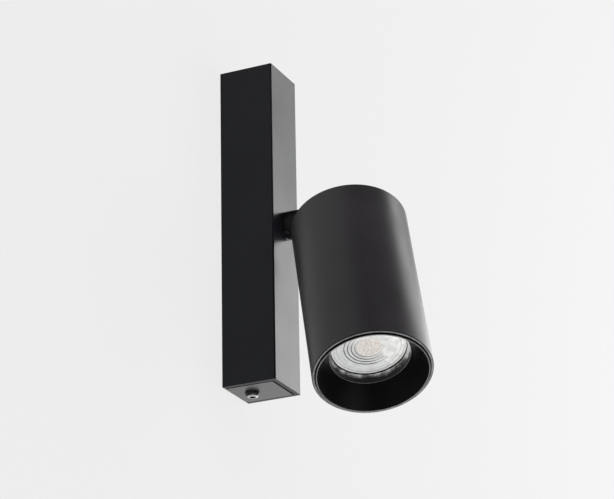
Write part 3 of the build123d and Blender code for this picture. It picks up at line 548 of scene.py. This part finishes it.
@dataclass(frozen=True)
class BoreReflection(Finish):
    """The polished straight bore in front of the lamp, with a painted reflection of the lamp: bright
    beside the lamp, black at its front.

    Attributes:
        streaks: How much the streaks change its brightness.
        bright_side: Places along Y between which the painted light on its brighter side falls back to the
            rest's.
        side_gain: How much brighter that side is painted.
        metallic: How metallic its polish looks.
    """

    streaks: float = 0.16
    bright_side: Point2 = (-0.148, -0.130)
    side_gain: float = 0.6
    metallic: float = 0.4

    def paint(self) -> None:
        """Makes the painted reflection's change from bright to black, broken up by streaks."""
        graph = Graph(self.name)
        streak = graph.noise(scale=240.0, detail=4.0)
        depth = graph.attribute("turned_depth")
        # Painted reflection: the lamp's light mirrored in the bore, coloured brightest next to the lamp
        # and black at the cone's end.
        share = graph.span(depth, 0.0, 1.0, start=CONE_DEPTH, end=CONE_DEPTH + THROAT_LENGTH)
        share = graph.maths("ADD", share, graph.span(streak, -self.streaks, self.streaks))
        # Painted light: one side of the bore is coloured brighter.
        gain = graph.span(graph.parts()["Y"], self.side_gain, 0.0, *self.bright_side)
        share = graph.maths("ADD", share, gain)
        black, grey = shade(self.colour, -0.97), shade(self.colour, -0.72)
        graph.look(Base_Color=graph.ramp(share, [(0.58, black), (0.82, grey), (1.0, self.colour)]))
        graph.rough(streak, self.roughness, less=0.06, more=0.08)
        graph.raised(streak, depth=0.00002)
        graph.look(Metallic=self.metallic, Specular_IOR_Level=0.05)


@dataclass(frozen=True)
class Phosphor(Finish):
    """The yellow dots of the lamp's board, speckled.

    Attributes:
        pink: How each channel of the colour changes in the pink speckles.
    """

    pink: Colour = (1.0, 0.85, 1.7)

    def paint(self) -> None:
        """Makes fine speckles of yellow and pink."""
        graph = Graph(self.name)
        speckle = graph.noise(scale=1600.0, detail=3.0)
        pink = tuple(channel * change for channel, change in zip(self.colour, self.pink))
        graph.look(Base_Color=graph.ramp(speckle, [(0.35, self.colour), (0.65, pink)]))
        graph.rough(speckle, self.roughness, less=0.1, more=0.1)
        graph.raised(speckle, depth=0.00003)


BAR_COAT = PowderCoat(
    "bar_powder_coat", "black_coat", (0.0098, 0.0104, 0.0138), 0.32, specular=0.15, painted_corner_shade=True
)
PLATE_COAT = PowderCoat("plate_powder_coat", "black_coat", (0.0170, 0.0174, 0.0188), 0.30, specular=1.0)
TOP_COAT = PowderCoat(
    "dusty_powder_coat", "black_coat", (0.0230, 0.0225, 0.0225), 0.62, gloss_spread=0.08, specular=0.10
)
HEAD_COAT = PowderCoat("head_powder_coat", "black_coat", (0.0205, 0.0180, 0.0208), 0.38, specular=0.28)
STUB_COAT = PowderCoat("stub_powder_coat", "black_coat", (0.005, 0.0051, 0.0056), 0.34, specular=0.12)
# Painted highlight: the tube's rim is coloured lighter where it catches light.
RIM_EDGE = EdgeHighlight("rim_painted_highlight", "black_coat", (0.16, 0.16, 0.165), 0.40)
BAFFLE_BLACK = Moulded("satin_baffle", "baffle_black", (0.0030, 0.0030, 0.0033), 0.40, specular=0.05)
BORE = BoreReflection("bore_painted_reflection", "baffle_black", (0.80, 0.81, 0.80), 0.20)
# Painted highlights: the opening's edge and the baffle's rim are coloured lighter where they catch light.
THROAT_EDGE = EdgeHighlight("throat_edge_painted_highlight", "baffle_black", (0.34, 0.34, 0.33), 0.30)
BAFFLE_EDGE = EdgeHighlight("baffle_edge_painted_highlight", "baffle_black", (0.11, 0.107, 0.104), 0.40, metallic=0.3)
SCREW_BLACK = WornBlack("worn_black_screw", "black_steel", (0.010, 0.010, 0.011), 0.28)
DARK_STEEL = Plated("blackened_steel", "black_steel", (0.09, 0.09, 0.095), 0.36)
ZINC = Plated("zinc_plate", "zinc_steel", (0.62, 0.63, 0.64), 0.34)
BRASS = Plated("turned_brass", "brass", (0.78, 0.62, 0.33), 0.28)
TINNED = Plated("tinned_copper_plate", "tinned_copper", (0.72, 0.71, 0.68), 0.30)
NICKEL = Plated("nickel_plate", "nickel", (0.70, 0.69, 0.66), 0.24)
NYLON = Moulded("natural_nylon", "nylon", (0.80, 0.79, 0.75), 0.48)
RUBBER = Moulded("black_rubber", "rubber", (0.022, 0.022, 0.022), 0.75, grain=0.0004)
CERAMIC = Moulded("fired_ceramic", "ceramic", (0.86, 0.85, 0.81), 0.62, grain=0.0003)
LAMP_WHITE = Moulded("lamp_housing_white", "lamp_white", (0.84, 0.84, 0.83), 0.30, depth=0.000004)
BOARD_WHITE = Moulded("lacquered_board", "board_white", (0.80, 0.80, 0.77), 0.40)
SLEEVE = Insulation("black_sleeve", "sleeve_black", (0.03, 0.03, 0.03), 0.60)
BROWN = Insulation("brown_lead", "lead_brown", (0.16, 0.07, 0.03), 0.45)
BLUE = Insulation("blue_lead", "lead_blue", (0.03, 0.10, 0.36), 0.45)
EARTH = Insulation("striped_lead", "lead_earth", (0.05, 0.30, 0.06), 0.45, stripe=(0.80, 0.68, 0.05))
WHITE_LEAD = Insulation("white_lead", "lead_white", (0.80, 0.80, 0.78), 0.50)
LENS = LensPlastic("lens_plastic", "lamp_glass", (0.94, 0.95, 0.93), 0.16)
PHOSPHOR = Phosphor("speckled_phosphor", "phosphor", (0.86, 0.70, 0.33), 0.45)


# ---- mesh making ----
@dataclass(frozen=True)
class TurnedAxis:
    """The axis that a round piece is turned about.

    Attributes:
        origin: The point at depth 0.
        along: The direction in which depth grows.
        across: A direction square to it, at angle 0.
    """

    origin: Vector
    along: Vector
    across: Vector

    def point(self, radius: float, depth: float, angle: float = 0.0) -> Vector:
        """The point at a radius, a depth and an angle in radians."""
        outward = self.across * cos(angle) + self.along.cross(self.across) * sin(angle)
        return self.origin + self.along * depth + outward * radius


def section(corners: Sequence[tuple[float, ...]], steps: int = 5) -> list[Point2]:
    """Joins corners into the closed section of a turned piece.

    Args:
        corners: The radius and depth of each corner, and the radius of the arc that rounds it, if any.
        steps: How many steps an arc has.

    Returns:
        The section's points as pairs of radius and depth.
    """
    places = [Vector(corner[:2]) for corner in corners]
    found: list[Point2] = []
    for index, (corner, place) in enumerate(zip(corners, places)):
        if len(corner) == 2:
            found.append(tuple(place))
            continue
        rounding = corner[2]
        before = (places[index - 1] - place).normalized()
        after = (places[(index + 1) % len(places)] - place).normalized()
        half = before.angle(after) / 2
        reach = rounding / tan(half)
        centre = place + (before + after).normalized() * (rounding / sin(half))
        start, end = place + before * reach - centre, place + after * reach - centre
        first = atan2(start.y, start.x)
        turn = (atan2(end.y, end.x) - first + pi) % (2 * pi) - pi
        for angle in (first + turn * step / steps for step in range(steps + 1)):
            found.append((centre.x + rounding * cos(angle), centre.y + rounding * sin(angle)))
    return found


def put(name: str, data: bpy.types.ID) -> bpy.types.Object:
    """Makes an object and puts it in the scene.

    Args:
        name: The object's name.
        data: Its mesh, lamp or camera.

    Returns:
        The object.
    """
    thing = bpy.data.objects.new(name, data)
    bpy.context.scene.collection.objects.link(thing)
    return thing


def make_piece(name: str, mesh: bpy.types.Mesh, finishes: Sequence[Finish], node: str) -> bpy.types.Object:
    """Makes a piece from its mesh, dresses it and shows it instead of a CAD node.

    Args:
        name: The piece's name.
        mesh: Its mesh, in the model's frame.
        finishes: Its finishes, in the order of its faces' material indices.
        node: The node that it stands for.

    Returns:
        The piece.
    """
    piece = put(name, mesh)
    for finish in finishes:
        mesh.materials.append(finish.material())
    log.info("made %s with %d faces", name, len(mesh.polygons))
    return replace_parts(piece, node)


def finished(builder: bmesh.types.BMesh, name: str) -> bpy.types.Mesh:
    """Ends the making of a mesh: its faces look outwards and are shaded smoothly.

    Args:
        builder: The faces that were made, which are freed.
        name: The mesh's name.

    Returns:
        The mesh.
    """
    bmesh.ops.recalc_face_normals(builder, faces=builder.faces)
    mesh = bpy.data.meshes.new(name)
    builder.to_mesh(mesh)
    builder.free()
    mesh.shade_smooth()
    mesh.set_sharp_from_angle(angle=radians(CREASE))
    return mesh


def turned(
    name: str, axis: TurnedAxis, points: Sequence[Point2], segments: int = 192, bands: Sequence[Band] = ()
) -> bpy.types.Mesh:
    """Turns a section about an axis.

    Args:
        name: The mesh's name.
        axis: The axis.
        points: The section, as pairs of radius and depth. It closes on itself or ends on the axis.
        segments: How many steps there are around the axis.
        bands: Boxes of radius and depth (least and most of each) whose faces take the next finishes.

    Returns:
        The mesh, with each point's place in the attributes turned_radius and turned_depth.
    """
    builder = bmesh.new()
    rings = []
    for radius, depth in points:
        steps = 1 if radius < NEAR else segments
        angles = [2 * pi * step / steps for step in range(steps)]
        rings.append([builder.verts.new(axis.point(radius, depth, angle)) for angle in angles])
    pairs = list(zip(range(len(points)), range(1, len(points))))
    if points[0][0] > NEAR:
        pairs.append((len(points) - 1, 0))
    for low, high in pairs:
        radius, depth = ((points[low][part] + points[high][part]) / 2 for part in (0, 1))
        held = [band[0] <= radius <= band[1] and band[2] <= depth <= band[3] for band in bands]
        front, rear = rings[low], rings[high]
        for step in range(segments):
            ahead = (step + 1) % segments
            loop = [front[step % len(front)], front[ahead % len(front)]]
            loop += [rear[ahead % len(rear)], rear[step % len(rear)]]
            corners = list(dict.fromkeys(loop))
            if len(corners) > 2:
                builder.faces.new(corners).material_index = held.index(True) + 1 if any(held) else 0
    mesh = finished(builder, name)
    mesh.attributes.new("turned_radius", "FLOAT", "POINT")
    mesh.attributes.new("turned_depth", "FLOAT", "POINT")
    radii, depths = mesh.attributes["turned_radius"].data, mesh.attributes["turned_depth"].data
    for index, vertex in enumerate(mesh.vertices):
        offset = vertex.co - axis.origin
        depths[index].value = offset.dot(axis.along)
        radii[index].value = (offset - axis.along * depths[index].value).length
    return mesh


def tube(name: str, path: Sequence[Vector], radius: float, sides: int = 24) -> bpy.types.Mesh:
    """Makes a closed round tube along a path.

    Args:
        name: The mesh's name.
        path: The points of its middle line.
        radius: Its radius.
        sides: Its number of sides.

    Returns:
        The mesh.
    """
    builder = bmesh.new()
    rings = []
    across = (path[1] - path[0]).orthogonal().normalized()
    for index, centre in enumerate(path):
        along = (path[min(index + 1, len(path) - 1)] - path[max(index - 1, 0)]).normalized()
        across = (across - along * across.dot(along)).normalized()
        third = along.cross(across)
        turns = [2 * pi * side / sides for side in range(sides)]
        ring = [centre + (across * cos(turn) + third * sin(turn)) * radius for turn in turns]
        rings.append([builder.verts.new(point) for point in ring])
    for low, high in zip(rings, rings[1:]):
        for side in range(sides):
            ahead = (side + 1) % sides
            builder.faces.new([low[side], low[ahead], high[ahead], high[side]])
    builder.faces.new(rings[0])
    builder.faces.new(rings[-1])
    return finished(builder, name)


def rounded_path(
    start: Vector, corner: Vector, end: Vector, radius: float, steps: int = 12
) -> list[Vector]:
    """Two straight runs joined by an arc.

    Args:
        start: Where the path starts.
        corner: Where its two runs would meet.
        end: Where it ends.
        radius: The arc's radius.
        steps: How many steps the arc and each run have.

    Returns:
        The path's points.
    """
    before, after = (start - corner).normalized(), (end - corner).normalized()
    half = before.angle(after) / 2
    reach = radius / tan(half)
    centre = corner + (before + after).normalized() * (radius / sin(half))
    first, last = corner + before * reach, corner + after * reach
    spoke = first - centre
    normal = spoke.cross(last - centre).normalized()
    sweep = spoke.angle(last - centre)
    arc = [centre + Matrix.Rotation(sweep * step / steps, 3, normal) @ spoke for step in range(steps + 1)]
    run_in = [start.lerp(first, step / steps) for step in range(steps)]
    run_out = [last.lerp(end, step / steps) for step in range(1, steps + 1)]
    return run_in + arc + run_out


def dress(finish: Finish, *nodes: str) -> None:
    """Gives CAD nodes a finish.

    Args:
        finish: The finish.
        *nodes: The nodes' names.
    """
    for name in nodes:
        node = frame["nodes"][name]
        node.data.materials.clear()
        node.data.materials.append(finish.material())
        log.info("dressed %s in %s", name, finish.name)


# ---- sub-assemblies ----
@dataclass
class WallBar:
    """The bar on the wall: cover, end plates, bracket, terminals, earth and leads."""

    def build(self) -> None:
        """Dresses the bar's nodes."""
        dress(BAR_COAT, "bar_housing", "swivel_collar")
        dress(PLATE_COAT, "bottom_end_plate")
        dress(TOP_COAT, "top_end_plate")
        dress(ZINC, "wall_bracket", "press_nuts", "stop_pin")
        dress(ZINC, "terminal_screws", "terminal_fixing_screw", "earth_washer")
        dress(SCREW_BLACK, "cover_screws")
        dress(RUBBER, "cable_grommet")
        dress(NYLON, "terminal_block", "bearing_washer")
        dress(BRASS, "terminal_ferrules", "earth_screw")
        dress(TINNED, "earth_ring_tag")
        dress(SLEEVE, "bar_sleeve")
        dress(BROWN, "live_lead")
        dress(BLUE, "neutral_lead")
        dress(EARTH, "earth_lead")


@dataclass
class SwivelArm:
    """The forked stub that turns on the bar, with its hollow shaft and the sleeved leads.

    Attributes:
        pivot: The tilt screw's middle.
        back: Direction from the head's mouth to its rear.
        wallward: Direction square to it, towards the wall.
        sleeve_radius: Radius of the sleeved lead.
        shoulder: Distance from the tilt screw back to the fork's floor.
        sleeve_offset: How far the sleeve passes beside the tilt screw.
        bend: Radius of the sleeve's bend.
        foot_depth: Distance from the tilt screw to the foot of the knuckle.
    """

    pivot: Vector
    back: Vector
    wallward: Vector
    sleeve_radius: float = 0.00175
    shoulder: float = 0.0103
    sleeve_offset: float = 0.005
    bend: float = 0.005
    foot_depth: float = 0.0143

    def build(self) -> None:
        """Dresses the arm's nodes and makes its bending sleeve."""
        dress(BRASS, "swivel_nipple")
        dress(ZINC, "stop_washer", "spring_washer", "swivel_nut")
        dress(STUB_COAT, "swivel_stub")
        dress(DARK_STEEL, "stub_grub_screw", "tilt_screw", "tilt_nut")
        dress(NYLON, "friction_washers")
        dress(SLEEVE, "arm_sleeve")
        self.bending_sleeve()

    def bending_sleeve(self) -> None:
        """Makes the sleeve that bends beside the tilt screw."""
        lean = WALL.angle(self.wallward)
        start = self.pivot + WALL * self.shoulder
        corner = self.pivot + WALL * (self.sleeve_offset / cos(lean))
        end = self.pivot + self.wallward * self.sleeve_offset - self.back * self.foot_depth
        path = rounded_path(start, corner, end, self.bend)
        mesh = tube("knuckle_sleeve_bending", path, self.sleeve_radius)
        piece = make_piece("knuckle_sleeve_bending", mesh, [SLEEVE], "knuckle_sleeve")
        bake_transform(piece)


@dataclass
class SpotHead:
    """The round head: its tube, rear cap, knuckle and baffle.

    Attributes:
        axis: The head's axis, with depth 0 at the mouth.
        radius: The tube's radius.
        length: The tube's length.
        wall: The tube's wall.
        mouth_wall: Its wall at the mouth.
        mouth_depth: Depth of the thinner wall.
        edge: Rounding of the tube's outer edges.
        inner_edge: Rounding of its inner edges.
        baffle_gap: Gap between the mouth's wall and the baffle.
        proud: How far the baffle's rim stands in front of the tube's.
        skirt: Thickness of the baffle's skirt.
        rim: Height of the baffle's rim in front of its cone.
        fine: Rounding of the baffle's rim and lip.
        cone_wall: Thickness of the cone.
        cone_root: Depth where the back of the cone leaves the skirt.
        opening: Radius of the baffle's opening.
        opening_edge: Rounding of its edge.
        bright_edge: How far the painted highlight of the opening's edge reaches out, forward and back of
            its corner.
        lip: Thickness of the lip at the throat's rear.
        lip_radius: Radius of the hole in the lip, round the lamp.
        bore_end: How far before the throat's end the bore's painted reflection stops.
        seat: Clearance between the baffle and its seat.
    """

    axis: TurnedAxis
    radius: float = 0.040
    length: float = 0.135
    wall: float = 0.0028
    mouth_wall: float = 0.0018
    mouth_depth: float = 0.0162
    edge: float = 0.0005
    inner_edge: float = 0.00025
    baffle_gap: float = 0.0006
    proud: float = 0.001
    skirt: float = 0.001
    rim: float = 0.0004
    fine: float = 0.0002
    cone_wall: float = 0.0012
    cone_root: float = 0.0026
    opening: float = 0.0269
    opening_edge: float = 0.00035
    bright_edge: Point3 = (0.0002, 0.0003, 0.00005)
    lip: float = 0.0008
    lip_radius: float = 0.0254
    bore_end: float = 0.0001
    seat: float = 0.00005

    def build(self) -> None:
        """Makes the tube and the baffle, and dresses the head's other nodes."""
        self.tube()
        self.baffle()
        dress(HEAD_COAT, "head_knuckle")
        dress(TOP_COAT, "rear_cap")
        dress(ZINC, "knuckle_screws")
        dress(RUBBER, "head_gland", "baffle_o_ring")

    def tube(self) -> None:
        """Makes the tube, with its rounded rim: a painted highlight on the rim's face and painted shade on
        its outer rounding.
        """
        inner = self.radius - self.wall
        mouth_inner = self.radius - self.mouth_wall
        points = section([
            (mouth_inner, 0.0, self.inner_edge),
            (self.radius, 0.0, self.edge),
            (self.radius, self.length, self.edge),
            (inner, self.length, self.inner_edge),
            (inner, self.mouth_depth),
            (mouth_inner, self.mouth_depth),
        ])
        # Painted highlight on the rim's face; painted shade on the outer rounding, which takes the darker
        # stub coat.
        face = (mouth_inner, self.radius - self.edge, -NEAR, NEAR)
        corner = (self.radius - self.edge, self.radius, NEAR, self.edge)
        mesh = turned("spot_tube", self.axis, points, bands=[face, corner])
        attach(make_piece("spot_tube", mesh, [HEAD_COAT, RIM_EDGE, STUB_COAT], "head_tube"), "head")

    def baffle(self) -> None:
        """Makes the recessed cone, with its thin rim and its straight throat."""
        outer = self.radius - self.mouth_wall - self.baffle_gap
        inner = outer - self.skirt
        throat_end = CONE_DEPTH + THROAT_LENGTH
        points = section([
            (outer, -self.proud, self.fine),
            (outer, self.mouth_depth - self.seat),
            (inner, self.mouth_depth - self.seat),
            (inner, self.cone_root),
            (self.opening + self.cone_wall, CONE_DEPTH + self.cone_wall / 2),
            (self.opening + self.cone_wall, throat_end),
            (self.lip_radius, throat_end),
            (self.lip_radius, throat_end - self.lip, self.fine),
            (self.opening, throat_end - self.lip),
            (self.opening, CONE_DEPTH, self.opening_edge),
            (inner, self.rim - self.proud, self.fine),
            (inner, -self.proud, self.fine),
        ])
        out, forward, back = self.bright_edge
        # The rim and the opening's edge take painted highlights, and the bore a painted reflection.
        rim = (inner, outer, -self.proud - NEAR, -self.proud + NEAR)
        bore = (self.lip_radius, self.opening + NEAR, CONE_DEPTH + back, throat_end - self.bore_end)
        bright = (self.opening, self.opening + out, CONE_DEPTH - forward, CONE_DEPTH + back)
        mesh = turned("cone_baffle", self.axis, points, bands=[rim, bore, bright])
        finishes = [BAFFLE_BLACK, BAFFLE_EDGE, BORE, THROAT_EDGE]
        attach(make_piece("cone_baffle", mesh, finishes, "baffle"), "head")


@dataclass
class ReflectorLamp:
    """The 50 mm twist-lock lamp in its holder.

    Attributes:
        axis: The head's axis, with depth 0 at the mouth.
        shape: The lens's sizes.
        face: Depth of the lens's front.
        thickness: Thickness of the lens.
        groove: Depth of its moulded rings.
        bevel: Size of the bevel at its edge.
    """

    axis: TurnedAxis
    shape: LensShape = LensShape()
    face: float = 0.0223
    thickness: float = 0.0014
    groove: float = 0.0002
    bevel: float = 0.0004

    def build(self) -> None:
        """Makes the lens and dresses the lamp, its holder and its leads."""
        self.lens()
        dress(LAMP_WHITE, "lamp_body")
        dress(BOARD_WHITE, "lamp_board")
        dress(PHOSPHOR, "lamp_chips")
        dress(NICKEL, "lamp_pins")
        dress(CERAMIC, "lampholder")
        dress(ZINC, "holder_screws", "lampholder_hanger", "hanger_screws")
        dress(SLEEVE, "head_sleeve")
        dress(WHITE_LEAD, "holder_leads")

    def lens(self) -> None:
        """Makes the lens, with rings moulded in its front."""
        face, back, shape = self.face, self.face + self.thickness, self.shape
        points: list[Point2] = [(0.0, face)]
        radius = shape.ring_start
        while radius < shape.ring_end - shape.ring_pitch / 2:
            points += [(radius, face), (radius + shape.ring_slope * shape.ring_pitch, face + self.groove)]
            radius += shape.ring_pitch
        points += [(radius, face), (shape.radius - self.bevel, face), (shape.radius, face + self.bevel)]
        points += [(shape.radius, back), (0.0, back)]
        mesh = turned("ringed_lens", self.axis, points, segments=128)
        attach(make_piece("ringed_lens", mesh, [LENS], "lamp_lens"), "head")


# ---- studio ----
@dataclass(frozen=True)
class Softbox:
    """A soft flat lamp that the camera doesn't see.

    Attributes:
        place: Where its middle stands.
        width: Its width.
        height: Its height.
        radiance: How bright its face is, where 1 is white.
    """

    place: Point3
    width: float
    height: float
    radiance: float

    def build(self, name: str, target: Vector) -> None:
        """Makes the lamp and points it at the target.

        Args:
            name: The lamp's name.
            target: The point that it lights.
        """
        data = bpy.data.lights.new(name, "AREA")
        data.shape = "RECTANGLE"
        data.size, data.size_y = self.width, self.height
        data.energy = self.radiance * pi * self.width * self.height
        lamp = put(name, data)
        lamp.location = self.place
        lamp.rotation_mode = "QUATERNION"
        lamp.rotation_quaternion = (target - Vector(self.place)).to_track_quat("-Z", "Y")
        lamp.visible_camera = False


class Side(Enum):
    """The softboxes round the light, by the side where each stands."""

    RIGHT = Softbox((1.25, -0.74, 0.11), width=1.3, height=1.0, radiance=5.4)
    UPPER = Softbox((1.28, -0.88, 1.05), width=0.9, height=0.7, radiance=3.4)
    LOW = Softbox((1.15, -0.30, -0.62), width=0.8, height=0.6, radiance=6.4)
    FRONT = Softbox((-0.65, -1.60, 0.38), width=1.25, height=1.1, radiance=3.3)
    BELOW = Softbox((-0.30, -0.45, -1.35), width=1.5, height=1.0, radiance=3.1)


@dataclass(frozen=True)
class PhotoCamera:
    """The camera at the photograph's angle.

    Attributes:
        azimuth: Its azimuth in degrees, 0 looking along +Y.
        elevation: Its elevation in degrees.
        roll: Its roll in degrees.
        distance: Its distance from the object's origin, along its line of sight.
        aim_right: How far its line of sight passes to the right of the origin.
        aim_up: How far it passes above the origin.
        focal_pixels: Its focal length in the photograph's pixels.
        sensor: Width of its sensor in millimetres.
    """

    azimuth: float = -65.26
    elevation: float = -21.67
    roll: float = -1.13
    distance: float = 1.80473
    aim_right: float = 0.05108
    aim_up: float = -0.00907
    focal_pixels: float = 2572.05
    sensor: float = 36.0

    def build(self) -> None:
        """Makes the camera and gives it to the scene."""
        turn, lift, roll = radians(self.azimuth), radians(self.elevation), radians(self.roll)
        back = Vector((sin(turn) * cos(lift), -cos(turn) * cos(lift), sin(lift)))
        level = Vector((cos(turn), sin(turn), 0.0))
        above = back.cross(level)
        right = level * cos(roll) + above * sin(roll)
        up = above * cos(roll) - level * sin(roll)
        data = bpy.data.cameras.new("photo_camera")
        data.sensor_width = self.sensor
        data.lens = self.focal_pixels * self.sensor / PHOTO_SIZE[0]
        camera = put("photo_camera", data)
        place = back * self.distance + right * self.aim_right + up * self.aim_up
        camera.matrix_world = Matrix.Translation(place) @ Matrix((right, up, back)).transposed().to_4x4()
        bpy.context.scene.camera = camera


@dataclass
class Studio:
    """The wall, the floor, the soft light and the world.

    Attributes:
        pale: The wall's and floor's colour as the camera sees it.
        paint: How much light the paint sends back.
        even: The share of the pale colour that no shadow darkens.
        wall_gap: Distance of the wall behind the bar's back.
        floor_height: Height of the floor.
        reach: Half the width of the wall.
        ambient: Strength of the world's light on the object.
        target: The point that the softboxes light.
    """

    pale: float = 0.87
    paint: float = 0.55
    even: float = 0.90
    wall_gap: float = 0.0004
    floor_height: float = -1.9
    reach: float = 6.0
    ambient: float = 0.34
    target: Point3 = (0.0, -0.05, 0.0)

    def build(self) -> None:
        """Makes the wall, the floor, the lamps and the world."""
        paint = self.paint_material()
        reach, back, low = self.reach, self.wall_gap, self.floor_height
        foot = [(-reach, back, low), (reach, back, low)]
        self.sheet("wall", foot + [(reach, back, reach), (-reach, back, reach)], paint)
        self.sheet("floor", [(-reach, -reach, low), (reach, -reach, low)] + foot[::-1], paint)
        for side in Side:
            side.value.build(f"softbox_{side.name.lower()}", Vector(self.target))
        self.world()

    def sheet(self, name: str, corners: Sequence[Point3], paint: bpy.types.Material) -> None:
        """Makes one flat sheet of the studio.

        Args:
            name: The sheet's name.
            corners: Its corners, in the order that makes it face the room.
            paint: Its material.
        """
        mesh = bpy.data.meshes.new(name)
        mesh.from_pydata(corners, [], [tuple(range(len(corners)))])
        mesh.materials.append(paint)
        put(name, mesh)

    def paint_material(self) -> bpy.types.Material:
        """Makes the paint: pale for the camera and in reflections, shadowed, and open from behind.

        Returns:
            The paint's material.
        """
        graph = Graph("studio_paint")
        graph.tree.nodes.remove(graph.surface)
        tone = graph.noise(scale=3.0, detail=2.0)
        tint = graph.mottled(tone, (self.paint,) * 3, darker=0.01, lighter=0.0)
        matt = graph.add("BsdfDiffuse", Color=tint).outputs[0]
        glow = graph.add("Emission", Color=(self.pale,) * 3).outputs[0]
        rays = graph.add("LightPath").outputs
        seen = graph.maths("MAXIMUM", rays["Is Camera Ray"], rays["Is Glossy Ray"])
        seen = graph.maths("MAXIMUM", seen, rays["Is Transmission Ray"])
        front = graph.fill(graph.add("MixShader"), graph.maths("MULTIPLY", seen, self.even), matt, glow)
        hole = graph.add("BsdfTransparent").outputs[0]
        behind = graph.add("NewGeometry").outputs["Backfacing"]
        unseen = graph.maths("MAXIMUM", behind, rays["Is Shadow Ray"])
        whole = graph.fill(graph.add("MixShader"), unseen, front, hole)
        graph.give(graph.output.inputs["Surface"], whole)
        return graph.material

    def world(self) -> None:
        """Makes the world: pale where it is seen, and a soft even light elsewhere."""
        world = bpy.data.worlds.new("studio_world")
        bpy.context.scene.world = world
        tree = Tree(world)
        rays = tree.add("LightPath").outputs
        light = tree.add("Background", Strength=self.ambient).outputs[0]
        seen = tree.add("Background", Color=(self.pale,) * 3).outputs[0]
        mixed = tree.fill(tree.add("MixShader"), rays["Is Camera Ray"], light, seen)
        tree.add("OutputWorld", Surface=mixed)


# ---- the whole light ----
@dataclass
class WallLight:
    """The whole light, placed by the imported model's joints.

    Attributes:
        pivot_offset: Distance from the tilt screw to the head's axis.
        pivot_rise: Distance from the rear cap up to the tilt screw.
    """

    pivot_offset: float = 0.028
    pivot_rise: float = 0.0183

    def build(self) -> None:
        """Builds the sub-assemblies in the order in which they are put together."""
        tilt = next(joint for joint in frame["joints"] if joint["name"] == "tilt")
        side = -Vector(tilt["axis"])
        up = side.cross(WALL)
        lean = -radians(tilt["range_deg"][0])
        back = up * cos(lean) + WALL * sin(lean)
        wallward = WALL * cos(lean) - up * sin(lean)
        pivot = Vector(tilt["pos_m"])
        mouth = pivot - wallward * self.pivot_offset - back * (self.pivot_rise + SpotHead.length)
        axis = TurnedAxis(mouth, back, side)
        WallBar().build()
        SwivelArm(pivot, back, wallward).build()
        SpotHead(axis).build()
        ReflectorLamp(axis).build()


def main() -> None:
    """Builds the camera, the light and the studio."""
    logging.basicConfig(level=logging.INFO, format="%(name)s: %(message)s")
    bpy.context.scene.view_settings.view_transform = "Standard"
    PhotoCamera().build()
    WallLight().build()
    Studio().build()


if __name__ == "__main__":
    main()
